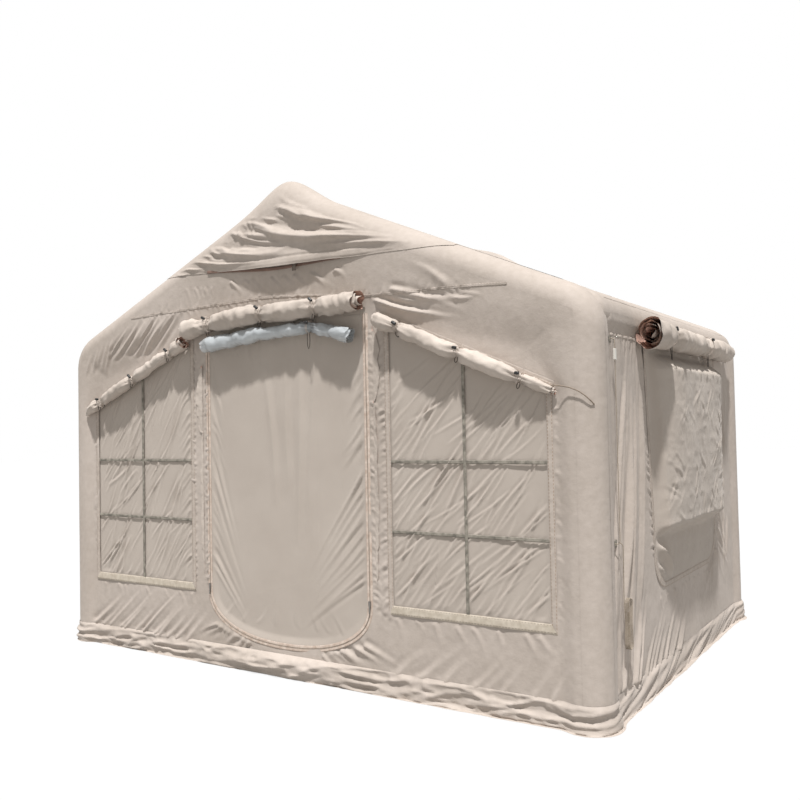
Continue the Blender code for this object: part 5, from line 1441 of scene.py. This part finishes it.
FLAP_FOLDS = [
    (0.02, 2.150, 0.50, 1.965, 0.020, 0.024, -0.030, False), (-0.16, 2.060, 0.44, 1.955, 0.024, 0.032, -0.035, False),
    (0.14, 1.955, 0.70, 1.892, 0.017, 0.018, 0.012, False), (-0.46, 2.000, 0.06, 1.915, 0.019, 0.018, -0.026, False),
    (0.20, 1.918, 0.74, 1.868, 0.011, 0.010, 0.008, False), (0.00, 2.180, 0.24, 2.080, 0.012, 0.012, -0.012, False),
    (-0.56, 1.945, -0.10, 1.885, 0.012, 0.011, -0.012, False),
    (-0.30, 2.055, -0.06, 2.000, 0.012, 0.010, -0.010, False),
    (0.26, 2.035, 0.56, 1.930, 0.010, 0.010, 0.010, False), (-0.20, 2.110, 0.02, 2.065, 0.010, 0.008, -0.006, False),
]
FLAP_FOLDS += fan(401, ((-0.02, 2.16), (-0.56, 1.95)), ((0.34, 1.98), (-0.10, 1.89)), 17, 0.0085, 0.009, False, 0.03)
FLAP_FOLDS += fan(402, ((-0.68, 1.89), (-0.16, 2.10)), ((-0.48, 1.88), (-0.10, 1.98)), 16, 0.007, 0.008, False, 0.01)
FLAP_FOLDS += fan(403, ((0.04, 2.15), (0.20, 1.95)), ((0.44, 2.00), (0.72, 1.885)), 11, 0.008, 0.007, False, 0.02)


def gable_flap(wall):
    """The hood's cloth, row by row from behind the rake tubes' crowns, over their fronts and down to the hem."""
    u, share = np.meshgrid(np.linspace(-FLAP_LEFT, FLAP_RIGHT, FLAP_COLUMNS + 1), np.linspace(0, 1, FLAP_ROWS + 1))
    inward = 1 - np.where(u < 0, u / FLAP_LEFT, u / FLAP_RIGHT) ** 2
    rake = rake_z(np.hypot(u, APEX_ROUND * hump(u, 0.2)))
    hem = FLAP_HEM - HEM_TILT * u - HEM_SAG * np.cos(3 * u) + 0.003 * value_noise(u * 7, 0 * u, 411)
    above_axis = np.clip((hem - rake) * ROOF_COS / SLEEVE_RADIUS, 0, 1)
    first_turn, last_turn = -FIRST_TURN * np.sqrt(inward), np.arccos(above_axis)
    on_tube = SLEEVE_RADIUS * (last_turn - first_turn)
    run = share * (on_tube + np.clip(rake - hem, 0, None))
    turn = first_turn + np.minimum(run, on_tube) / SLEEVE_RADIUS
    below = np.clip(run - on_tube, 0, None)
    tucked = 0.4 + 0.6 * np.clip((turn + FIRST_TURN) / 0.40, 0, 1)
    peak = PEAK_HEIGHT * hump(u - PEAK_PLACE, PEAK_WIDTH) * np.clip(np.cos(turn), 0, 1) * tucked
    v = rake + (SLEEVE_RADIUS + FLAP_LIFT) * np.cos(turn) / ROOF_COS * (below == 0) - below + peak
    hang = np.clip(below / 0.26, 0, 1)
    loose = np.clip((run - on_tube * 0.60) / 0.07, 0, 1) * np.clip(inward / 0.12, 0, 1)
    near_hem = np.clip((v - hem) / HEM_BAND, 0, 1)
    crushed = 0.0035 * value_noise(u * 8, v * 15, 412)
    wrinkle = 0.85 * folded(u, v, FLAP_FOLDS) + crushed + 0.003 * crumple(u * 9, v * 14, 413)
    gape = HEM_GAPE * hump(u + 0.05, 0.42) * hang**2
    out = (SLEEVE_RADIUS + FLAP_LIFT) * np.sin(turn) + 0.012 * hang * inward + gape
    out = out + loose * (0.35 + 0.65 * near_hem) * wrinkle
    for height in STITCH_ROWS:
        out = out - STITCH_DEPTH * hump((v - hem) / HEM_BAND - height, 0.12) * (below > 0)
    skin = np.where(below > 0, firm_out(wall, u, v)[0], SLEEVE_RADIUS * np.sin(turn))
    out = np.maximum(out, skin + FLAP_LIFT)
    return patch(in_wall(wall, u, v, out)[::-1], stacked(u, v)[::-1])


loop_webbing = sewn_webbing("hem_loop_webbing", "#7E7268", "#5A5048", "#6A5F56")
# Painted shade: the strip under the hem has the coating's brown-pink, darkened where the gap between hem and wall lies
# in shade.
gap_shade_cloth = oxford_canvas("hem_gap_coating_painted_shade", "#94786B", "#775F54")
across = np.linspace(-0.44, 0.36, 60)
under_hem = FLAP_HEM + 0.006 - HEM_TILT * across - HEM_SAG * np.cos(3 * across)
under_hem = under_hem - 0.013 * hump(across + 0.04, 0.24)
loop_line = [(HOOK_PLACE, up) for up in np.linspace(HOOK_FOOT, HOOK_TOP, 6)]
gap_strip_line = list(zip(across, under_hem))
for wall in ("front", "back"):
    loop = ribbon(wall, loop_line, HOOK_WIDTH, lambda u, v: HOOK_OUT + 0 * u, slot=1)
    # The painted-shade strip in the gap under the hem, a little off the wall.
    facing = ribbon(wall, gap_strip_line, GAP_STRIP_WIDTH, lambda u, v: firm_out(wall, u, v)[0] + 0.005, slot=2)
    flap = sewn(f"gable_hood_{wall}", [gable_flap(wall), loop, facing], [canvas, loop_webbing, gap_shade_cloth])
    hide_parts(f"gable_flap_{wall}")


# The mud skirt: a loose flap of oxford sewn round the foot of the walls and posts. It is cut too long, so it
# falls in crumples and billows, and its raw lower edge lies out on the ground.
SKIRT_TOP = 0.10
SKIRT_ROWS = 22
SKIRT_BAG = 0.026
SKIRT_BAG_PLACE = -0.05
SKIRT_BAG_WIDTH = 0.40
SKIRT_LIES = (0.80, 0.20)


def foot_line(step):
    """The path round the tent's foot, in the wall's face and round the corner posts, and its outward turns."""
    places, facings = [], []
    sizes = ((POST_X, ARCH_Y, "front"), (ARCH_Y, POST_X, "right")) * 2
    for quarter, (half, reach, wall) in enumerate(sizes):
        heading = 90 * quarter
        turn = math.radians(heading)
        outward = np.array([math.sin(turn), -math.cos(turn)])
        forward = np.array([math.cos(turn), math.sin(turn)])
        across = np.linspace(-half, half, round(2 * half / step))
        out, _ = firm_out(wall, across, np.full(across.shape, 0.3))
        for along, away in zip(across, out):
            places.append(forward * along + outward * (reach + away))
            facings.append(outward)
        corner = forward * half + outward * reach
        for swing in np.arange(1, 12) / 12 * math.pi / 2:
            facing = outward * math.cos(swing) + forward * math.sin(swing)
            places.append(corner + facing * (SLEEVE_RADIUS - WALL_UNDER_SLEEVE))
            facings.append(facing)
    places = np.array(places)
    return places, np.array(facings), runs_along(places)


def mud_skirt():
    """The flap, row by row from its seam down to the ground, where its lowest rows lie outwards."""
    places, facings, runs = foot_line(0.008)
    share = np.linspace(0, 1, SKIRT_ROWS + 1)[:, None]
    s = np.broadcast_to(runs[None, :], (len(share), len(runs)))
    x, y = (places[:, i][None, :] + 0 * s for i in (0, 1))
    flare = 0.010 + 0.008 * value_noise(x * 3 + 40, y * 3 + 40, 421)
    under_door = SKIRT_BAG * hump(x - SKIRT_BAG_PLACE, SKIRT_BAG_WIDTH) * (y < 0)
    billow = under_door + 0.006 * np.clip(value_noise(x * 1.6 + 9, y * 1.6 + 9, 422), 0, 1)
    belly = np.sin(math.pi * np.clip(share / 0.8, 0, 1)) ** 0.9
    lies = ramp(share, *SKIRT_LIES)
    ridge = value_noise(x * 7 + share * 1.5, share * 4.2 + y * 7, 423)
    small_ridge = value_noise(x * 17 + 3, share * 7 + y * 17, 424)
    fold = 0.0085 * (1 - 2 * np.abs(ridge)) + 0.0045 * (1 - 2 * np.abs(small_ridge))
    free = np.clip(share / 0.12, 0, 1)
    laid_out = lies * (0.004 + 0.012 * np.clip(x / 1.4, 0, 1))
    out = 0.0012 + flare * share + billow * belly + free * fold * (1 - 0.6 * lies) + laid_out
    sagging = 1 - 0.12 * belly * np.clip(value_noise(x * 4, y * 4 + share, 425), -1, 1)
    rumpled = 0.004 * value_noise(x * 12, share * 6 + y * 12, 426) * free * (1 - lies)
    up = SKIRT_TOP * (1 - share / 0.82) * sagging + rumpled
    rest = 0.006 * np.clip(value_noise(x * 10, y * 10 + share * 2, 427), 0, 1) * np.clip((1 - share) / 0.1, 0, 1)
    up = np.maximum(up, 0.0015 + rest)
    out = np.maximum(out, 0.0012 + 0.003 * share)
    points = stacked(x + facings[:, 0] * out, y + facings[:, 1] * out, up)
    return patch(points, stacked(s, -share * 0.15), wrap=True)


skirt = sewn("mud_skirt_cloth", [mud_skirt()], [canvas])
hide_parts("mud_skirt")


# The groundsheet: heavier coated polyester, sewn into the foot of the walls, a little ruckled where it is loose.
SHEET_X = POST_X + WALL_OUT
SHEET_Y = ARCH_Y + WALL_OUT

floor_canvas = oxford_canvas("coated_groundsheet_polyester", "#8F8478", "#7C7166", crease=0.6, sheen=0.02)
x, y = np.meshgrid(np.linspace(-SHEET_X, SHEET_X, 160), np.linspace(-SHEET_Y, SHEET_Y, 120))
inside = np.clip((SHEET_X - np.abs(x)) / 0.12, 0, 1) * np.clip((SHEET_Y - np.abs(y)) / 0.12, 0, 1)
ruck = 0.0016 + 0.005 * inside * np.clip(crumple(x * 2.2, y * 2.2, 431), 0, 1)
groundsheet = sewn("groundsheet_cloth", [patch(stacked(x, y, ruck), stacked(x, y))], [floor_canvas])
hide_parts("groundsheet")


# Seams: flat-felled joins of the wall's panels, a narrow doubled strip with two rows of stitches. One crosses each
# gable at the eaves' height and one runs along each side under its beam.
SEAM_WIDTH = 0.012


def seam(wall, path):
    fine = roll_line(path, max(20, round(np.linalg.norm(np.subtract(path[-1], path[0])) / 0.012)))[0]
    out = cloth_out(wall)
    return ribbon(wall, fine, SEAM_WIDTH, lambda u, v: out(u, v) + 0.0003, lift=0.0012)


seam_canvas = sewn_webbing("felled_seam_of_oxford", "#BCB0A6", "#AB9F94", "#8E8074")
for wall in ("front", "back"):
    line = [(-1.00, 1.702), (-0.1, 1.724), (0.2, 1.704), (0.50, 1.670), (0.95, 1.662), (1.15, 1.652)]
    joins = sewn(f"gable_seam_{wall}", [seam(wall, line)], [seam_canvas])
for wall in ("right", "left"):
    joins = sewn(f"side_seam_{wall}", [seam(wall, [(-0.945, 1.448), (0, 1.444), (0.945, 1.448)])], [seam_canvas])


# The guy points: tabs of folded webbing, sewn flat on the side wall beside the front post. The guy line runs
# from the upper one to the lower one.
TAB_WIDTH = 0.028
TAB_LENGTH = 0.075
for name, height in (("upper", UPPER_TAB), ("lower", LOWER_TAB)):
    start = LINE_Y - TAB_WIDTH
    line = [(along, height) for along in np.linspace(start, start + TAB_LENGTH, 14)]
    parts = [ribbon("right", line, TAB_WIDTH, lambda u, v: firm_out("right", u, v)[0] + 0.0008, lift=0.0014)]
    tab = sewn(f"guy_point_tab_{name}", parts, [grid_webbing])
    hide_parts(f"guy_tab_{name}")


# The ruffled strips beside the door's zip: the weather flap's edges, gathered along the zip on both sides and
# fuller near its top.
def ruffle(path, width, seed, height):
    """A gathered strip: one edge is sewn down, and the other waves and stands off the wall."""
    path = np.array(path, float)
    fine, runs = roll_line(path, max(30, round(abs(path[0][1] - path[-1][1]) / 0.005)))
    share = np.linspace(0, 1, 9)
    s, a = np.meshgrid(runs, share, indexing="ij")
    taper = np.sin(math.pi * np.clip(runs / runs[-1], 0, 1))[:, None] ** 0.4
    wave = value_noise(s * 34 + a * 1.2, a * 0.8 + 5, seed)
    u = fine[:, 0][:, None] + a * width * taper * (1 + 0.25 * value_noise(s * 22, 0 * s, seed + 1))
    v = fine[:, 1][:, None] - 0.014 * a * (1 + wave)
    out = WALL_OUT + 0.0022 + a * (height * (0.55 + 0.45 * wave)) * taper
    out = out + 0.0008 * value_noise(s * 70, a * 3, seed + 2)
    facing = slice(None, None, -1 if width > 0 else 1)
    return patch(in_wall("front", u, v, out)[:, facing], stacked(s, a * abs(width))[:, facing])


parts = [
    ruffle([(0.506, 1.545), (0.508, 1.24)], 0.034, 441, 0.006),
    ruffle([(0.506, 1.24), (0.506, 0.46)], 0.018, 442, 0.004),
    ruffle([(-0.506, 1.44), (-0.508, 1.12)], -0.042, 443, 0.009),
    ruffle([(-0.506, 1.12), (-0.506, 0.44)], -0.018, 444, 0.004),
]
ruffles = sewn("weather_flap_edges", parts, [roll_canvas])


# What stays hidden: the bladders inside the sleeves, a milky polyurethane film, blown up until it fills the cloth.
BLADDER_INSET = 0.0035
bladder_film, bladder_shader = new_finish("polyurethane_bladder_film", {"Roughness": 0.35})
haze = noise(bladder_film, node(bladder_film, "TexCoord").outputs["Object"], 9.0, 3.0)
shaded(bladder_film, bladder_shader, haze, "#B9B7B0", "#D6D4CE")
for end, y in (("front", -ARCH_Y), ("back", ARCH_Y)):
    tube, _ = arch_tube(y, 0.03, sleeve_reach(SLEEVE_RADIUS - BLADDER_INSET, 11), 32)
    bladder = sewn(f"arch_bladder_{end}", [tube], [bladder_film])
    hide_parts(f"air_arch_{end}")
reach = ARCH_Y - SLEEVE_RADIUS
for side, x, z, radius in BEAMS:
    path, runs = rounded([(x, -reach, z), (x, reach, z)], ARCH_BEND, 0.04)
    tube = swept(path, runs, sleeve_reach(radius - BLADDER_INSET, 21), (1, 0, 0), 32)
    bladder = sewn(f"beam_bladder_{side}", [tube], [bladder_film])
    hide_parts(f"air_beam_{side}")


# The hard fittings keep their solids: the zip's sliders, cast in zinc, and the moulded plastic of the guy line's
# tensioner and of the inflation valve with its cap.
def moulded_plastic(name, pale, dark, roughness):
    """Moulded plastic: even colour, a faint texture from the mould and a soft gloss."""
    finish, shader = new_finish(name, {"Roughness": roughness})
    grain = noise(finish, node(finish, "TexCoord").outputs["Object"], 300.0, 2.0)
    shaded(finish, shader, grain, dark, pale)
    embossed(finish, shader, grain, 0.15, 0.0003)
    return finish


valve_plastic = moulded_plastic("moulded_white_nylon", "#E2DED6", "#D2CDC4", 0.38)
tensioner_plastic = moulded_plastic("moulded_white_acetal", "#E6E2DA", "#D8D3CA", 0.32)
for name, finish in (
    ("zip_slider_left", zip_metal), ("zip_slider_right", zip_metal), ("guy_tensioner", tensioner_plastic),
    ("inflation_valve", valve_plastic), ("valve_cap", valve_plastic),
):
    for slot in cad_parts[name].material_slots:
        slot.material = finish
